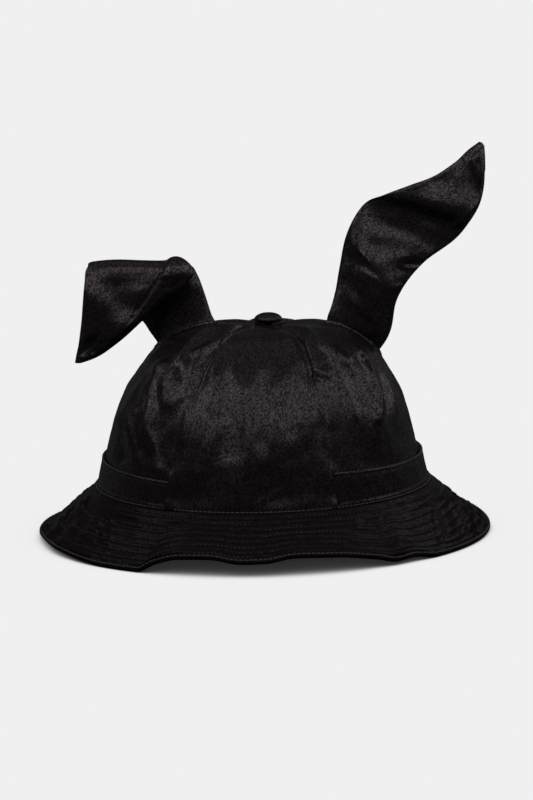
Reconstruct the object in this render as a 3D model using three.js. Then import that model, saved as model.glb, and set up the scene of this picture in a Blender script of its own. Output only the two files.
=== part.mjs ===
// A satin bucket hat with two rabbit ears, standing on its brim as it rests by itself.
// Millimetres, +Z up, front towards -Y, the viewer's right towards +X.
// The origin is on the floor, under the middle of the hat.
import * as THREE from 'three';

// Head opening and crown
const OPENING_WIDTH = 182;
const OPENING_LENGTH = 192;
const CROWN_WALL = 2;
const CROWN_HEIGHT = 90;
const CROWN_LEAN = 5.5;
const CROWN_SQUEEZE = 11;
const GORE_PUFF = 1.2;
const SEAM_SINK = 1.5;
const SEAM_REACH = 5;
const FOLD_RISE = 3;
const FOLD_WIDTH = 6;
const FOLD_MARGIN = 8;
const EAR_LIFT = 2.2;
const EAR_LIFT_REACH = 24;

// Brim
const SEAM_HEIGHT = 28.5;
const BRIM_REACH = 34;
const BRIM_THICKNESS = 3;
const STITCH_ROWS = 8;
const RIB_RISE = 0.7;

// Band and button
const BAND_HEIGHT = 16.5;
const BAND_THICKNESS = 1;
const BUTTON_WIDTH = 16;
const BUTTON_HEIGHT = 6;
const SHANK_WIDTH = 5;

// Ears
const EAR_LENGTH = 140;
const EAR_WIDTH = 48;
const EAR_THICKNESS = 5;
const EAR_EDGE = 1.6;
const EAR_BASE_WIDTH = 31;
const FOLDED_EAR_FROM = 29;
const STANDING_EAR_FROM = 33;
const ROLL_RISE = 4;

// Clearance between pieces that are sewn together
const GAP = 0.3;

// Half the crown's outer width and length at the brim seam
const HALF_WIDTH = OPENING_WIDTH / 2 + CROWN_WALL;
const HALF_LENGTH = OPENING_LENGTH / 2 + CROWN_WALL;

// The crown's side outline, from the brim seam to the top.
// out is a share of the crown's half width and up of its height.
const CROWN_OUTLINE = [
  { out: 1.0, up: 0.0 },
  { out: 0.981, up: 0.092 },
  { out: 0.963, up: 0.178 },
  { out: 0.92, up: 0.346 },
  { out: 0.888, up: 0.452 },
  { out: 0.851, up: 0.548 },
  { out: 0.798, up: 0.65 },
  { out: 0.733, up: 0.746 },
  { out: 0.656, up: 0.838 },
  { out: 0.538, up: 0.92 },
  { out: 0.409, up: 0.968 },
  { out: 0.27, up: 0.992 },
  { out: 0.13, up: 0.996 },
  { out: 0.0, up: 0.98 },
];

// Gore seams. turn is in degrees from the front, drift is how far the seam wanders half way up,
// and top is how far up the outline it is sunk.
const SEAMS = [
  { turn: -150, drift: 1.5, top: 0.95 },
  { turn: -90, drift: 0, top: 0.46 },
  { turn: -30, drift: 3.5, top: 0.95 },
  { turn: 30, drift: -1, top: 0.95 },
  { turn: 90, drift: 0, top: 0.46 },
  { turn: 150, drift: -1.5, top: 0.95 },
];

// Folds and dents of the crown, from one place to another.
// Turns are degrees, alongs are shares of the outline's length,
// wide is a share of FOLD_WIDTH and rise of FOLD_RISE.
const CROWN_FOLDS = [
  { fromTurn: -66, fromAlong: 0.88, toTurn: -34, toAlong: 0.4, wide: 0.9, rise: 1.2 },
  { fromTurn: -30, fromAlong: 0.88, toTurn: -21, toAlong: 0.46, wide: 0.7, rise: 0.8 },
  { fromTurn: 24, fromAlong: 0.86, toTurn: 22, toAlong: 0.44, wide: 0.7, rise: 0.5 },
  { fromTurn: -64, fromAlong: 0.56, toTurn: -40, toAlong: 0.41, wide: 0.9, rise: 0.7 },
  { fromTurn: -76, fromAlong: 0.55, toTurn: -46, toAlong: 0.6, wide: 1.2, rise: -0.8 },
  { fromTurn: -68, fromAlong: 0.44, toTurn: -56, toAlong: 0.16, wide: 1.4, rise: 0.7 },
  { fromTurn: -57, fromAlong: 0.46, toTurn: -41, toAlong: 0.18, wide: 1.4, rise: 0.8 },
  { fromTurn: -15, fromAlong: 0.62, toTurn: -16, toAlong: 0.16, wide: 1.3, rise: 0.3 },
  { fromTurn: -4, fromAlong: 0.6, toTurn: -5, toAlong: 0.12, wide: 1.2, rise: 0.3 },
  { fromTurn: 7, fromAlong: 0.62, toTurn: 6, toAlong: 0.14, wide: 1.3, rise: 0.3 },
  { fromTurn: 19, fromAlong: 0.64, toTurn: 17, toAlong: 0.12, wide: 1.2, rise: 0.3 },
  { fromTurn: 44, fromAlong: 0.74, toTurn: 41, toAlong: 0.38, wide: 1.1, rise: 0.7 },
  { fromTurn: 64, fromAlong: 0.62, toTurn: 52, toAlong: 0.34, wide: 1.1, rise: 0.8 },
  { fromTurn: 78, fromAlong: 0.5, toTurn: 66, toAlong: 0.22, wide: 1.2, rise: 0.7 },
  { fromTurn: 72, fromAlong: 0.58, toTurn: 58, toAlong: 0.5, wide: 1.0, rise: -0.6 },
  { fromTurn: 112, fromAlong: 0.6, toTurn: 118, toAlong: 0.24, wide: 1.4, rise: 0.6 },
  { fromTurn: 136, fromAlong: 0.66, toTurn: 132, toAlong: 0.3, wide: 1.3, rise: 0.5 },
  { fromTurn: 172, fromAlong: 0.6, toTurn: 174, toAlong: 0.22, wide: 1.4, rise: 0.5 },
  { fromTurn: -164, fromAlong: 0.64, toTurn: -160, toAlong: 0.28, wide: 1.4, rise: 0.5 },
  { fromTurn: -130, fromAlong: 0.62, toTurn: -126, toAlong: 0.26, wide: 1.3, rise: 0.6 },
  { fromTurn: -108, fromAlong: 0.52, toTurn: -112, toAlong: 0.2, wide: 1.2, rise: 0.6 },
];

// The band's top edge round the head. tall is a share of BAND_HEIGHT.
const BAND_EDGE = [
  { turn: 30, tall: 1.12 },
  { turn: 55, tall: 1.04 },
  { turn: 90, tall: 1.0 },
  { turn: 180, tall: 1.0 },
  { turn: 270, tall: 0.98 },
  { turn: 310, tall: 0.92 },
  { turn: 330, tall: 0.88 },
];

// The brim's side outline, from the seam to the edge, in shares of its reach and of its drop.
const BRIM_OUTLINE = [
  { out: 0.0, down: 0.0 },
  { out: 0.18, down: 0.2 },
  { out: 0.4, down: 0.46 },
  { out: 0.62, down: 0.71 },
  { out: 0.82, down: 0.9 },
  { out: 1.0, down: 1.0 },
];

// The brim's wavy edge. lift is a share of SEAM_HEIGHT, and the edge rests where it is 0.
// reach is a share of BRIM_REACH.
const BRIM_EDGE = [
  { turn: -180, lift: 0.1, reach: 1.0 },
  { turn: -170, lift: 0.0, reach: 1.02 },
  { turn: -160, lift: 0.0, reach: 1.02 },
  { turn: -146, lift: 0.16, reach: 0.97 },
  { turn: -130, lift: 0.05, reach: 1.0 },
  { turn: -118, lift: 0.0, reach: 0.96 },
  { turn: -108, lift: 0.0, reach: 0.96 },
  { turn: -98, lift: 0.03, reach: 0.98 },
  { turn: -86, lift: 0.04, reach: 1.0 },
  { turn: -70, lift: 0.11, reach: 1.02 },
  { turn: -56, lift: 0.08, reach: 1.06 },
  { turn: -46, lift: 0.03, reach: 1.06 },
  { turn: -38, lift: 0.0, reach: 1.05 },
  { turn: -28, lift: 0.0, reach: 1.04 },
  { turn: -23, lift: 0.17, reach: 1.02 },
  { turn: -17, lift: 0.29, reach: 0.99 },
  { turn: -9, lift: 0.31, reach: 0.98 },
  { turn: -1, lift: 0.23, reach: 1.0 },
  { turn: 5, lift: 0.24, reach: 1.0 },
  { turn: 12, lift: 0.32, reach: 0.98 },
  { turn: 23, lift: 0.28, reach: 0.99 },
  { turn: 33, lift: 0.16, reach: 1.0 },
  { turn: 39, lift: 0.06, reach: 1.02 },
  { turn: 44, lift: 0.08, reach: 1.01 },
  { turn: 52, lift: 0.0, reach: 1.05 },
  { turn: 72, lift: 0.0, reach: 1.06 },
  { turn: 84, lift: 0.01, reach: 1.05 },
  { turn: 98, lift: 0.03, reach: 0.99 },
  { turn: 108, lift: 0.05, reach: 0.95 },
  { turn: 122, lift: 0.0, reach: 0.98 },
  { turn: 132, lift: 0.0, reach: 1.0 },
  { turn: 148, lift: 0.17, reach: 0.96 },
  { turn: 165, lift: 0.13, reach: 0.98 },
  { turn: 180, lift: 0.1, reach: 1.0 },
];

// The standing ear, twisted as it rises. at is a share of its length from the crown.
// x, y and z are the middle of the section, in shares of EAR_LENGTH from the middle of its base.
// wide is a share of EAR_WIDTH, thick of EAR_THICKNESS and bow of EAR_WIDTH.
// tilt raises the section's +X edge and swing takes it away from the viewer, in degrees.
// roll is a puffed margin at its +X edge, a share of ROLL_RISE.
const STANDING_EAR = [
  { at: 0.0, x: 0.0, y: 0.0, z: 0.0, wide: 0.74, tilt: -30, swing: 0, thick: 1.0, bow: 0.0, roll: 0 },
  { at: 0.08, x: 0.035, y: 0.0, z: 0.074, wide: 0.76, tilt: -21, swing: -6, thick: 1.1, bow: 0.06, roll: 0 },
  { at: 0.16, x: 0.053, y: 0.007, z: 0.154, wide: 0.75, tilt: -13, swing: -14, thick: 1.1, bow: 0.1, roll: 0 },
  { at: 0.25, x: 0.076, y: 0.025, z: 0.235, wide: 0.82, tilt: -20, swing: -17, thick: 1.0, bow: 0.08, roll: 0 },
  { at: 0.35, x: 0.113, y: 0.043, z: 0.324, wide: 0.94, tilt: -26, swing: -17, thick: 0.9, bow: 0.05, roll: 0 },
  { at: 0.47, x: 0.177, y: 0.043, z: 0.417, wide: 1.0, tilt: -40, swing: -10, thick: 0.9, bow: -0.03, roll: 0 },
  { at: 0.59, x: 0.278, y: 0.021, z: 0.48, wide: 0.98, tilt: -33, swing: -7, thick: 0.9, bow: -0.07, roll: 0 },
  { at: 0.69, x: 0.358, y: 0.004, z: 0.532, wide: 0.82, tilt: -34, swing: -7, thick: 0.9, bow: -0.06, roll: 0 },
  { at: 0.78, x: 0.429, y: 0.007, z: 0.585, wide: 0.63, tilt: -35, swing: -4, thick: 0.9, bow: -0.03, roll: 0 },
  { at: 0.86, x: 0.479, y: 0.021, z: 0.647, wide: 0.45, tilt: -41, swing: 0, thick: 0.85, bow: 0.02, roll: 0 },
  { at: 0.95, x: 0.511, y: 0.046, z: 0.72, wide: 0.25, tilt: -44, swing: 5, thick: 0.7, bow: 0.03, roll: 0 },
  { at: 1.0, x: 0.532, y: 0.071, z: 0.772, wide: 0.06, tilt: -38, swing: 0, thick: 0.4, bow: 0.0, roll: 0 },
];

// The folded ear: it rises, folds forward over a crease and hangs down in front of itself.
const FOLDED_EAR = [
  { at: 0.0, x: 0.0, y: 0.0, z: 0.0, wide: 0.7, tilt: 24, swing: 0, thick: 1.0, bow: 0.0, roll: 0 },
  { at: 0.09, x: -0.034, y: 0.029, z: 0.062, wide: 0.78, tilt: 27, swing: -3, thick: 1.1, bow: 0.04, roll: 0 },
  { at: 0.17, x: -0.067, y: 0.057, z: 0.126, wide: 0.86, tilt: 32, swing: -6, thick: 1.0, bow: 0.05, roll: 0 },
  { at: 0.25, x: -0.116, y: 0.079, z: 0.181, wide: 0.98, tilt: 21, swing: -7, thick: 0.9, bow: 0.03, roll: 0 },
  { at: 0.32, x: -0.156, y: 0.079, z: 0.225, wide: 1.11, tilt: 10, swing: -6, thick: 0.9, bow: 0.0, roll: 0.2 },
  { at: 0.37, x: -0.185, y: 0.057, z: 0.259, wide: 1.23, tilt: 4, swing: -4, thick: 0.9, bow: 0.0, roll: 0.5 },
  { at: 0.43, x: -0.199, y: 0.014, z: 0.288, wide: 1.22, tilt: 1, swing: -2, thick: 0.9, bow: 0.0, roll: 0.6 },
  { at: 0.49, x: -0.202, y: -0.036, z: 0.269, wide: 1.19, tilt: 2, swing: -2, thick: 0.9, bow: 0.0, roll: 1.0 },
  { at: 0.57, x: -0.227, y: -0.064, z: 0.208, wide: 1.07, tilt: 4, swing: -4, thick: 0.9, bow: 0.04, roll: 0.9 },
  { at: 0.66, x: -0.266, y: -0.071, z: 0.13, wide: 0.89, tilt: 5, swing: -5, thick: 0.9, bow: 0.06, roll: 0.7 },
  { at: 0.76, x: -0.306, y: -0.064, z: 0.047, wide: 0.72, tilt: 6, swing: -3, thick: 0.9, bow: 0.05, roll: 0.4 },
  { at: 0.88, x: -0.366, y: -0.054, z: -0.035, wide: 0.44, tilt: 1, swing: -3, thick: 0.8, bow: 0.02, roll: 0 },
  { at: 0.96, x: -0.416, y: -0.043, z: -0.086, wide: 0.22, tilt: -4, swing: 0, thick: 0.7, bow: 0.0, roll: 0 },
  { at: 1.0, x: -0.449, y: -0.036, z: -0.109, wide: 0.06, tilt: -1, swing: 0, thick: 0.4, bow: 0.0, roll: 0 },
];

// How finely each form is divided
const FRONT_GORE_CELLS = { across: 16, up: 17 };
const BACK_GORE_CELLS = { across: 10, up: 12 };
const BAND_CELLS = { round: 60, up: 2 };
const BRIM_TURNS = 84;
const BRIM_UNDER_CELLS = 3;
const EAR_CELLS = { across: 7, along: 22 };
const BUTTON_SIDES = 20;

const degrees = Math.PI / 180;

// 0 below from, 1 above to, and a smooth ramp between
function ramp(from, to, value) {
  return THREE.MathUtils.smoothstep(value, from, to);
}

// A bell of height 1 at 0, which fades away past 1
function bell(share) {
  return Math.exp(-share * share);
}

// The value of one column of a table at a place between its rows, on a smooth line.
// A flat line doesn't overshoot its rows.
function readTable(rows, place, column, at, flat = false) {
  let i = 0;
  while (i < rows.length - 2 && rows[i + 1][place] < at) i += 1;
  const slope = (k) => (rows[k + 1][column] - rows[k][column]) / (rows[k + 1][place] - rows[k][place]);
  const lean = (k) => {
    if (k === 0) return slope(0);
    if (k === rows.length - 1) return slope(k - 1);
    const before = slope(k - 1);
    const after = slope(k);
    if (!flat) return (before + after) / 2;
    return before * after > 0 ? (2 * before * after) / (before + after) : 0;
  };
  const span = rows[i + 1][place] - rows[i][place];
  const t = THREE.MathUtils.clamp((at - rows[i][place]) / span, 0, 1);
  const start = rows[i][column];
  const end = rows[i + 1][column];
  return (
    start * (1 + 2 * t) * (1 - t) ** 2 +
    end * t * t * (3 - 2 * t) +
    lean(i) * span * t * (1 - t) ** 2 -
    lean(i + 1) * span * t * t * (1 - t)
  );
}

// The crown's outline as a curve in real sizes, measured by its own length
const outlineCurve = new THREE.SplineCurve(
  CROWN_OUTLINE.map((row) => new THREE.Vector2(row.out * HALF_WIDTH, row.up * CROWN_HEIGHT)),
);
const outlineLength = outlineCurve.getLength();

// A place on the plain crown, before seams and folds
function plainCrown(turn, along) {
  const outline = outlineCurve.getPointAt(THREE.MathUtils.clamp(along, 0, 1));
  const out = outline.x / HALF_WIDTH;
  const up = outline.y / CROWN_HEIGHT;
  const halfLength = THREE.MathUtils.lerp(HALF_LENGTH, HALF_WIDTH - CROWN_SQUEEZE, up ** 4);
  return new THREE.Vector3(
    HALF_WIDTH * out * Math.sin(turn * degrees) + CROWN_LEAN * up ** 5,
    -halfLength * out * Math.cos(turn * degrees),
    SEAM_HEIGHT + CROWN_HEIGHT * up,
  );
}

// The way out of the crown's surface, level at the brim seam
function crownNormal(turn, along) {
  const step = 0.004;
  const above = plainCrown(turn, Math.min(along + step, 0.992));
  const below = plainCrown(turn, Math.max(Math.min(along, 0.992) - step, 0));
  const right = plainCrown(turn + 1, Math.min(along, 0.985));
  const left = plainCrown(turn - 1, Math.min(along, 0.985));
  const normal = right.sub(left).cross(above.sub(below));
  if (along === 0) normal.z = 0;
  return normal.normalize();
}

// Where a seam runs at a place up the crown
function seamTurn(seam, along) {
  return seam.turn + seam.drift * Math.sin(Math.PI * along);
}

// The shorter way round from one turn to another
function turnBetween(from, to) {
  return THREE.MathUtils.euclideanModulo(to - from + 180, 360) - 180;
}

// The real distance round the crown between two turns
function roundCrown(from, to, along) {
  const radius = outlineCurve.getPointAt(THREE.MathUtils.clamp(along, 0, 1)).x;
  return turnBetween(from, to) * degrees * radius;
}

// How high one fold stands at a place
function foldHeight(fold, turn, along) {
  const length = (fold.toAlong - fold.fromAlong) * outlineLength;
  const sideways = roundCrown(fold.fromTurn, fold.toTurn, along);
  const x = roundCrown(fold.fromTurn, turn, along);
  const y = (along - fold.fromAlong) * outlineLength;
  const share = THREE.MathUtils.clamp((x * sideways + y * length) / (sideways ** 2 + length ** 2), 0, 1);
  const away = Math.hypot(x - share * sideways, y - share * length);
  const taper = Math.sin(Math.PI * share);
  return FOLD_RISE * fold.rise * taper * bell(away / (FOLD_WIDTH * fold.wide));
}

// How far the crown's surface stands out at a place: gores puff, seams sink, folds rise,
// and the ears lift the side seams. It lies flat at the brim seam, and under the band if it is banded.
function crownRelief(turn, along, banded) {
  let relief = GORE_PUFF * Math.cos((SEAMS.length / 2) * turn * degrees) ** 2 * Math.sin(Math.PI * along);
  for (const seam of SEAMS) {
    const away = roundCrown(seamTurn(seam, along), turn, along);
    relief -= SEAM_SINK * bell(away / SEAM_REACH) * (1 - ramp(seam.top - 0.12, seam.top, along));
  }
  for (const fold of CROWN_FOLDS) {
    relief += foldHeight(fold, turn, along);
  }
  const radius = outlineCurve.getPointAt(THREE.MathUtils.clamp(along, 0, 1)).x;
  for (const [side, from] of [[-90, FOLDED_EAR_FROM], [90, STANDING_EAR_FROM]]) {
    const x = radius - from - EAR_BASE_WIDTH / 2;
    relief += EAR_LIFT * bell(Math.hypot(x, roundCrown(side, turn, along)) / EAR_LIFT_REACH);
  }
  const flatTo = banded ? bandTop(turn) : 0;
  return relief * ramp(flatTo, flatTo + FOLD_MARGIN / outlineLength, along);
}

// A place on the crown, lifted off its surface by some clearance or thickness
function crownPoint(turn, along, lift = 0, banded = true) {
  const height = crownRelief(turn, along, banded) + lift;
  return plainCrown(turn, along).addScaledVector(crownNormal(turn, along), height);
}

// How far up the outline the band reaches
function bandTop(turn) {
  const round = THREE.MathUtils.euclideanModulo(turn, 360);
  return (BAND_HEIGHT * readTable(BAND_EDGE, 'turn', 'tall', round)) / outlineLength;
}

// A closed solid from its points and its faces
function solid(points, faces) {
  const geometry = new THREE.BufferGeometry().setFromPoints(points);
  geometry.setIndex(faces);
  geometry.computeVertexNormals();
  return geometry;
}

function addQuad(faces, a, b, c, d) {
  faces.push(a, b, c, a, c, d);
}

// A wall between a front and a back sheet of points, closed along its four sides
function wall(front, back) {
  const rows = front.length;
  const columns = front[0].length;
  const index = (sheet, i, j) => (sheet * rows + i) * columns + j;
  const faces = [];
  for (let i = 0; i < rows - 1; i += 1) {
    for (let j = 0; j < columns - 1; j += 1) {
      addQuad(faces, index(0, i, j), index(0, i + 1, j), index(0, i + 1, j + 1), index(0, i, j + 1));
      addQuad(faces, index(1, i, j), index(1, i, j + 1), index(1, i + 1, j + 1), index(1, i + 1, j));
    }
  }
  const lastRow = rows - 1;
  const lastColumn = columns - 1;
  for (let i = 0; i < lastRow; i += 1) {
    addQuad(faces, index(0, i + 1, 0), index(0, i, 0), index(1, i, 0), index(1, i + 1, 0));
    addQuad(
      faces, index(0, i, lastColumn), index(0, i + 1, lastColumn),
      index(1, i + 1, lastColumn), index(1, i, lastColumn),
    );
  }
  for (let j = 0; j < lastColumn; j += 1) {
    addQuad(faces, index(0, 0, j), index(0, 0, j + 1), index(1, 0, j + 1), index(1, 0, j));
    addQuad(
      faces, index(0, lastRow, j + 1), index(0, lastRow, j),
      index(1, lastRow, j), index(1, lastRow, j + 1),
    );
  }
  return solid([...front.flat(), ...back.flat()], faces);
}

// A ring through closed sections
function ring(sections) {
  const around = sections.length;
  const count = sections[0].length;
  const faces = [];
  for (let i = 0; i < around; i += 1) {
    const next = (i + 1) % around;
    for (let k = 0; k < count; k += 1) {
      const after = (k + 1) % count;
      addQuad(faces, i * count + k, next * count + k, next * count + after, i * count + after);
    }
  }
  return solid(sections.flat(), faces);
}

// A grid of points from a function of two shares
function sheet(across, up, place) {
  return Array.from({ length: across + 1 }, (_, i) =>
    Array.from({ length: up + 1 }, (__, j) => place(i / across, j / up)),
  );
}

// One gore of the crown, between two seams, from the brim seam to the hole for the shank
function gore(leftSeam, rightSeam, cells, banded) {
  const top = findAlong(SHANK_WIDTH / 2 + GAP);
  const place = (lift) => (across, up) => {
    const along = up * top;
    const radius = outlineCurve.getPointAt(along).x;
    const inset = Math.asin(GAP / 2 / radius) / degrees;
    const from = seamTurn(leftSeam, along) + inset;
    const span = THREE.MathUtils.euclideanModulo(seamTurn(rightSeam, along) - inset - from, 360);
    return crownPoint(turnBetween(0, from + across * span), along, lift, banded);
  };
  return wall(sheet(cells.across, cells.up, place(0)), sheet(cells.across, cells.up, place(-CROWN_WALL)));
}

// The place along the crown's outline that lies at a radius
function findAlong(radius) {
  let low = 0;
  let high = 1;
  for (let step = 0; step < 40; step += 1) {
    const middle = (low + high) / 2;
    if (outlineCurve.getPointAt(middle).x > radius) low = middle;
    else high = middle;
  }
  return low;
}

// The band lies on the crown, from one front seam round the back to the other
function band() {
  const inset = (2 * GAP) / HALF_WIDTH / degrees;
  const [frontLeft, frontRight] = [SEAMS[2], SEAMS[3]];
  const place = (lift) => (round, up) => {
    const from = frontRight.turn;
    const to = frontLeft.turn + 360;
    const along = up * bandTop(THREE.MathUtils.lerp(from, to, round));
    const first = seamTurn(frontRight, along) + inset;
    const last = seamTurn(frontLeft, along) + 360 - inset;
    return crownPoint(THREE.MathUtils.lerp(first, last, round), along, lift);
  };
  return wall(
    sheet(BAND_CELLS.round, BAND_CELLS.up, place(GAP + BAND_THICKNESS)),
    sheet(BAND_CELLS.round, BAND_CELLS.up, place(GAP)),
  );
}

// A section through the brim: its ribbed top from the edge to the seam, then its underside
function brimSection(turn) {
  const seamOut = GAP + BAND_THICKNESS;
  const reach = BRIM_REACH * readTable(BRIM_EDGE, 'turn', 'reach', turn, true);
  const bottom = SEAM_HEIGHT * readTable(BRIM_EDGE, 'turn', 'lift', turn, true);
  const top = SEAM_HEIGHT - GAP;
  const drop = top - bottom - BRIM_THICKNESS;
  const place = (out, height) => new THREE.Vector3(
    (HALF_WIDTH + out) * Math.sin(turn * degrees),
    -(HALF_LENGTH + out) * Math.cos(turn * degrees),
    height,
  );
  const points = [place(seamOut + reach, bottom)];
  const topCells = 2 * STITCH_ROWS;
  for (let k = topCells; k >= 0; k -= 1) {
    const share = k / topCells;
    const rib = k % 2 === 1 ? RIB_RISE : 0;
    const down = readTable(BRIM_OUTLINE, 'out', 'down', share);
    points.push(place(seamOut + reach * share + rib, top - drop * down + rib));
  }
  const underReach = reach + seamOut + CROWN_WALL - BRIM_THICKNESS;
  for (let k = 0; k <= BRIM_UNDER_CELLS; k += 1) {
    const share = k / BRIM_UNDER_CELLS;
    const down = readTable(BRIM_OUTLINE, 'out', 'down', share);
    points.push(place(underReach * share - CROWN_WALL, top - drop * down - BRIM_THICKNESS * share));
  }
  return points;
}

function brim() {
  return ring(Array.from({ length: BRIM_TURNS }, (_, i) => brimSection((360 * i) / BRIM_TURNS - 180)));
}

// An ear is a flat padded strip. Its base sits on the side seam, and its sections follow the table.
function ear(rows, side, baseFrom) {
  const baseAt = (across) => {
    const outward = side === 90 ? across : 1 - across;
    return findAlong(baseFrom + EAR_BASE_WIDTH * outward);
  };
  const middle = crownPoint(side, baseAt(0), GAP).lerp(crownPoint(side, baseAt(1), GAP), 0.5);
  const centre = (at) => new THREE.Vector3(
    readTable(rows, 'at', 'x', at),
    readTable(rows, 'at', 'y', at),
    readTable(rows, 'at', 'z', at),
  ).multiplyScalar(EAR_LENGTH).add(middle);
  const section = (at) => {
    const step = 0.01;
    const tilt = readTable(rows, 'at', 'tilt', at) * degrees;
    const swing = readTable(rows, 'at', 'swing', at) * degrees;
    const tangent = centre(Math.min(at + step, 1)).sub(centre(Math.max(at - step, 0)));
    const acrossWay = new THREE.Vector3(
      Math.cos(tilt) * Math.cos(swing),
      Math.sin(swing),
      Math.sin(tilt) * Math.cos(swing),
    );
    const faceWay = acrossWay.clone().cross(tangent).normalize();
    return { acrossWay, faceWay };
  };
  const place = (face) => (across, at) => {
    const s = -Math.cos(Math.PI * across);
    const { acrossWay, faceWay } = section(at);
    const thickness = EAR_THICKNESS * readTable(rows, 'at', 'thick', at);
    const half = THREE.MathUtils.lerp(Math.min(EAR_EDGE, thickness), thickness, Math.sqrt(1 - s * s)) / 2;
    if (at === 0) {
      const base = crownPoint(side, baseAt((s + 1) / 2), 1.5 * GAP);
      base.y = -face * half;
      return base;
    }
    const roll = ROLL_RISE * readTable(rows, 'at', 'roll', at) * bell((s - 0.82) / 0.2);
    const bow = EAR_WIDTH * readTable(rows, 'at', 'bow', at) * (1 - s * s);
    return centre(at)
      .addScaledVector(acrossWay, (s * EAR_WIDTH * readTable(rows, 'at', 'wide', at)) / 2)
      .addScaledVector(faceWay, face * (half + roll / 2) + bow - roll / 4);
  };
  const { across, along } = EAR_CELLS;
  return wall(sheet(across, along, place(1)), sheet(across, along, place(-1)));
}

// The covered button sits on the crown, and its shank fills the hole where the gores meet
function button() {
  const radius = BUTTON_WIDTH / 2;
  const seatAlong = findAlong(radius);
  const centre = plainCrown(0, 1);
  let seat = -Infinity;
  for (let turn = 0; turn < 360; turn += 10) {
    for (const along of [seatAlong, (1 + seatAlong) / 2]) {
      seat = Math.max(seat, crownPoint(turn, along, GAP).z);
    }
  }
  const foot = centre.z - CROWN_WALL;
  const profile = [
    [0, foot], [SHANK_WIDTH / 2, foot], [SHANK_WIDTH / 2, seat], [0.8 * radius, seat],
    [radius, seat + 0.28 * BUTTON_HEIGHT], [0.94 * radius, seat + 0.56 * BUTTON_HEIGHT],
    [0.72 * radius, seat + 0.82 * BUTTON_HEIGHT], [0.4 * radius, seat + 0.96 * BUTTON_HEIGHT],
    [0, seat + BUTTON_HEIGHT],
  ].map(([x, y]) => new THREE.Vector2(x, y));
  const geometry = new THREE.LatheGeometry(profile, BUTTON_SIDES);
  geometry.rotateX(Math.PI / 2);
  geometry.translate(centre.x, 0, 0);
  return geometry;
}

const satin = { color: 0x14110f, roughness: 0.45, metalness: 0 };

const hat = new THREE.Group();

function addPiece(name, geometry) {
  const piece = new THREE.Mesh(geometry, new THREE.MeshStandardMaterial(satin));
  piece.name = name;
  hat.add(piece);
}

const GORE_NAMES = ['back_left', 'front_left', 'front', 'front_right', 'back_right', 'back'];
GORE_NAMES.forEach((name, i) => {
  const cells = name.startsWith('front') ? FRONT_GORE_CELLS : BACK_GORE_CELLS;
  const rightSeam = SEAMS[(i + 1) % SEAMS.length];
  addPiece(`crown_${name}`, gore(SEAMS[i], rightSeam, cells, name !== 'front'));
});
addPiece('band', band());
addPiece('brim', brim());
addPiece('button', button());
addPiece('ear_left', ear(FOLDED_EAR, -90, FOLDED_EAR_FROM));
addPiece('ear_right', ear(STANDING_EAR, 90, STANDING_EAR_FROM));

export default hat;
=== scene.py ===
"""A black satin bucket hat with rabbit ears, sewn in fine cloth pieces and lit as in a studio.

Metres, +Z up, the front towards -Y and the viewer's right towards +X. Each cloth piece starts as a
flat grid, is shaped by the hat's own surfaces, and stands for the plainer solid of the same name.
"""

from __future__ import annotations

import logging
import math
from dataclasses import dataclass, field
from enum import Enum
from typing import Callable, NamedTuple, Sequence

import bpy
import numpy as np
from mathutils import Matrix, Vector


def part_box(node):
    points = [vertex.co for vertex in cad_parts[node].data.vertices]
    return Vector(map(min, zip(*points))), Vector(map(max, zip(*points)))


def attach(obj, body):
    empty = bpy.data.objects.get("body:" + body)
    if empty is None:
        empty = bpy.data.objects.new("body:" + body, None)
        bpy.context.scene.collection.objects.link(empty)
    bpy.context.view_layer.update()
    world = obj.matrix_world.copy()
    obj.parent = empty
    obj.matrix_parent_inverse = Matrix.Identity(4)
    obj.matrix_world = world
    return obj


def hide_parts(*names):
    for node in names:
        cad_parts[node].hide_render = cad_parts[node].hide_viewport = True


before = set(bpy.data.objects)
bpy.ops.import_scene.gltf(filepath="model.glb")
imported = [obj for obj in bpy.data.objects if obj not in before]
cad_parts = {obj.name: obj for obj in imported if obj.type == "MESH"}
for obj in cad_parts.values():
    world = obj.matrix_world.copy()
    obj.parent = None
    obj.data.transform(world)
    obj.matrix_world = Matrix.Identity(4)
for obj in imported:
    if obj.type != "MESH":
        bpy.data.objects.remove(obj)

LOG = logging.getLogger("hat")
BODY = "root"
GAP = 0.0003
FULL_TURN = 360.0
FRONT_TURN = 45.0

Place = Callable[[np.ndarray, np.ndarray], np.ndarray]


class Slot(Enum):
    """The record's material slots."""

    CROWN = "crown_satin"
    BAND = "band_satin"
    BRIM = "brim_satin"
    BUTTON = "button_satin"
    EAR = "ear_satin"


class Wrap(Enum):
    """How the sides of a cloth grid meet."""

    OPEN = "open"
    TUBE = "tube"
    RING = "ring"


def ramp(low: float, high: float, value: np.ndarray) -> np.ndarray:
    """Returns 0 below low, 1 above high and a smooth ramp between."""
    share = np.clip((value - low) / (high - low), 0.0, 1.0)
    return share * share * (3.0 - 2.0 * share)


def bell(share: np.ndarray) -> np.ndarray:
    """Returns a bell of height 1 at 0, which fades away past 1."""
    return np.exp(-share * share)


def turn_between(start: np.ndarray, end: np.ndarray) -> np.ndarray:
    """Returns the shorter way round from one turn to another, in degrees."""
    return np.mod(end - start + FULL_TURN / 2, FULL_TURN) - FULL_TURN / 2


def unit(vectors: np.ndarray) -> np.ndarray:
    """Returns the vectors with length 1."""
    return vectors / np.maximum(np.linalg.norm(vectors, axis=-1, keepdims=True), 1e-12)


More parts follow.
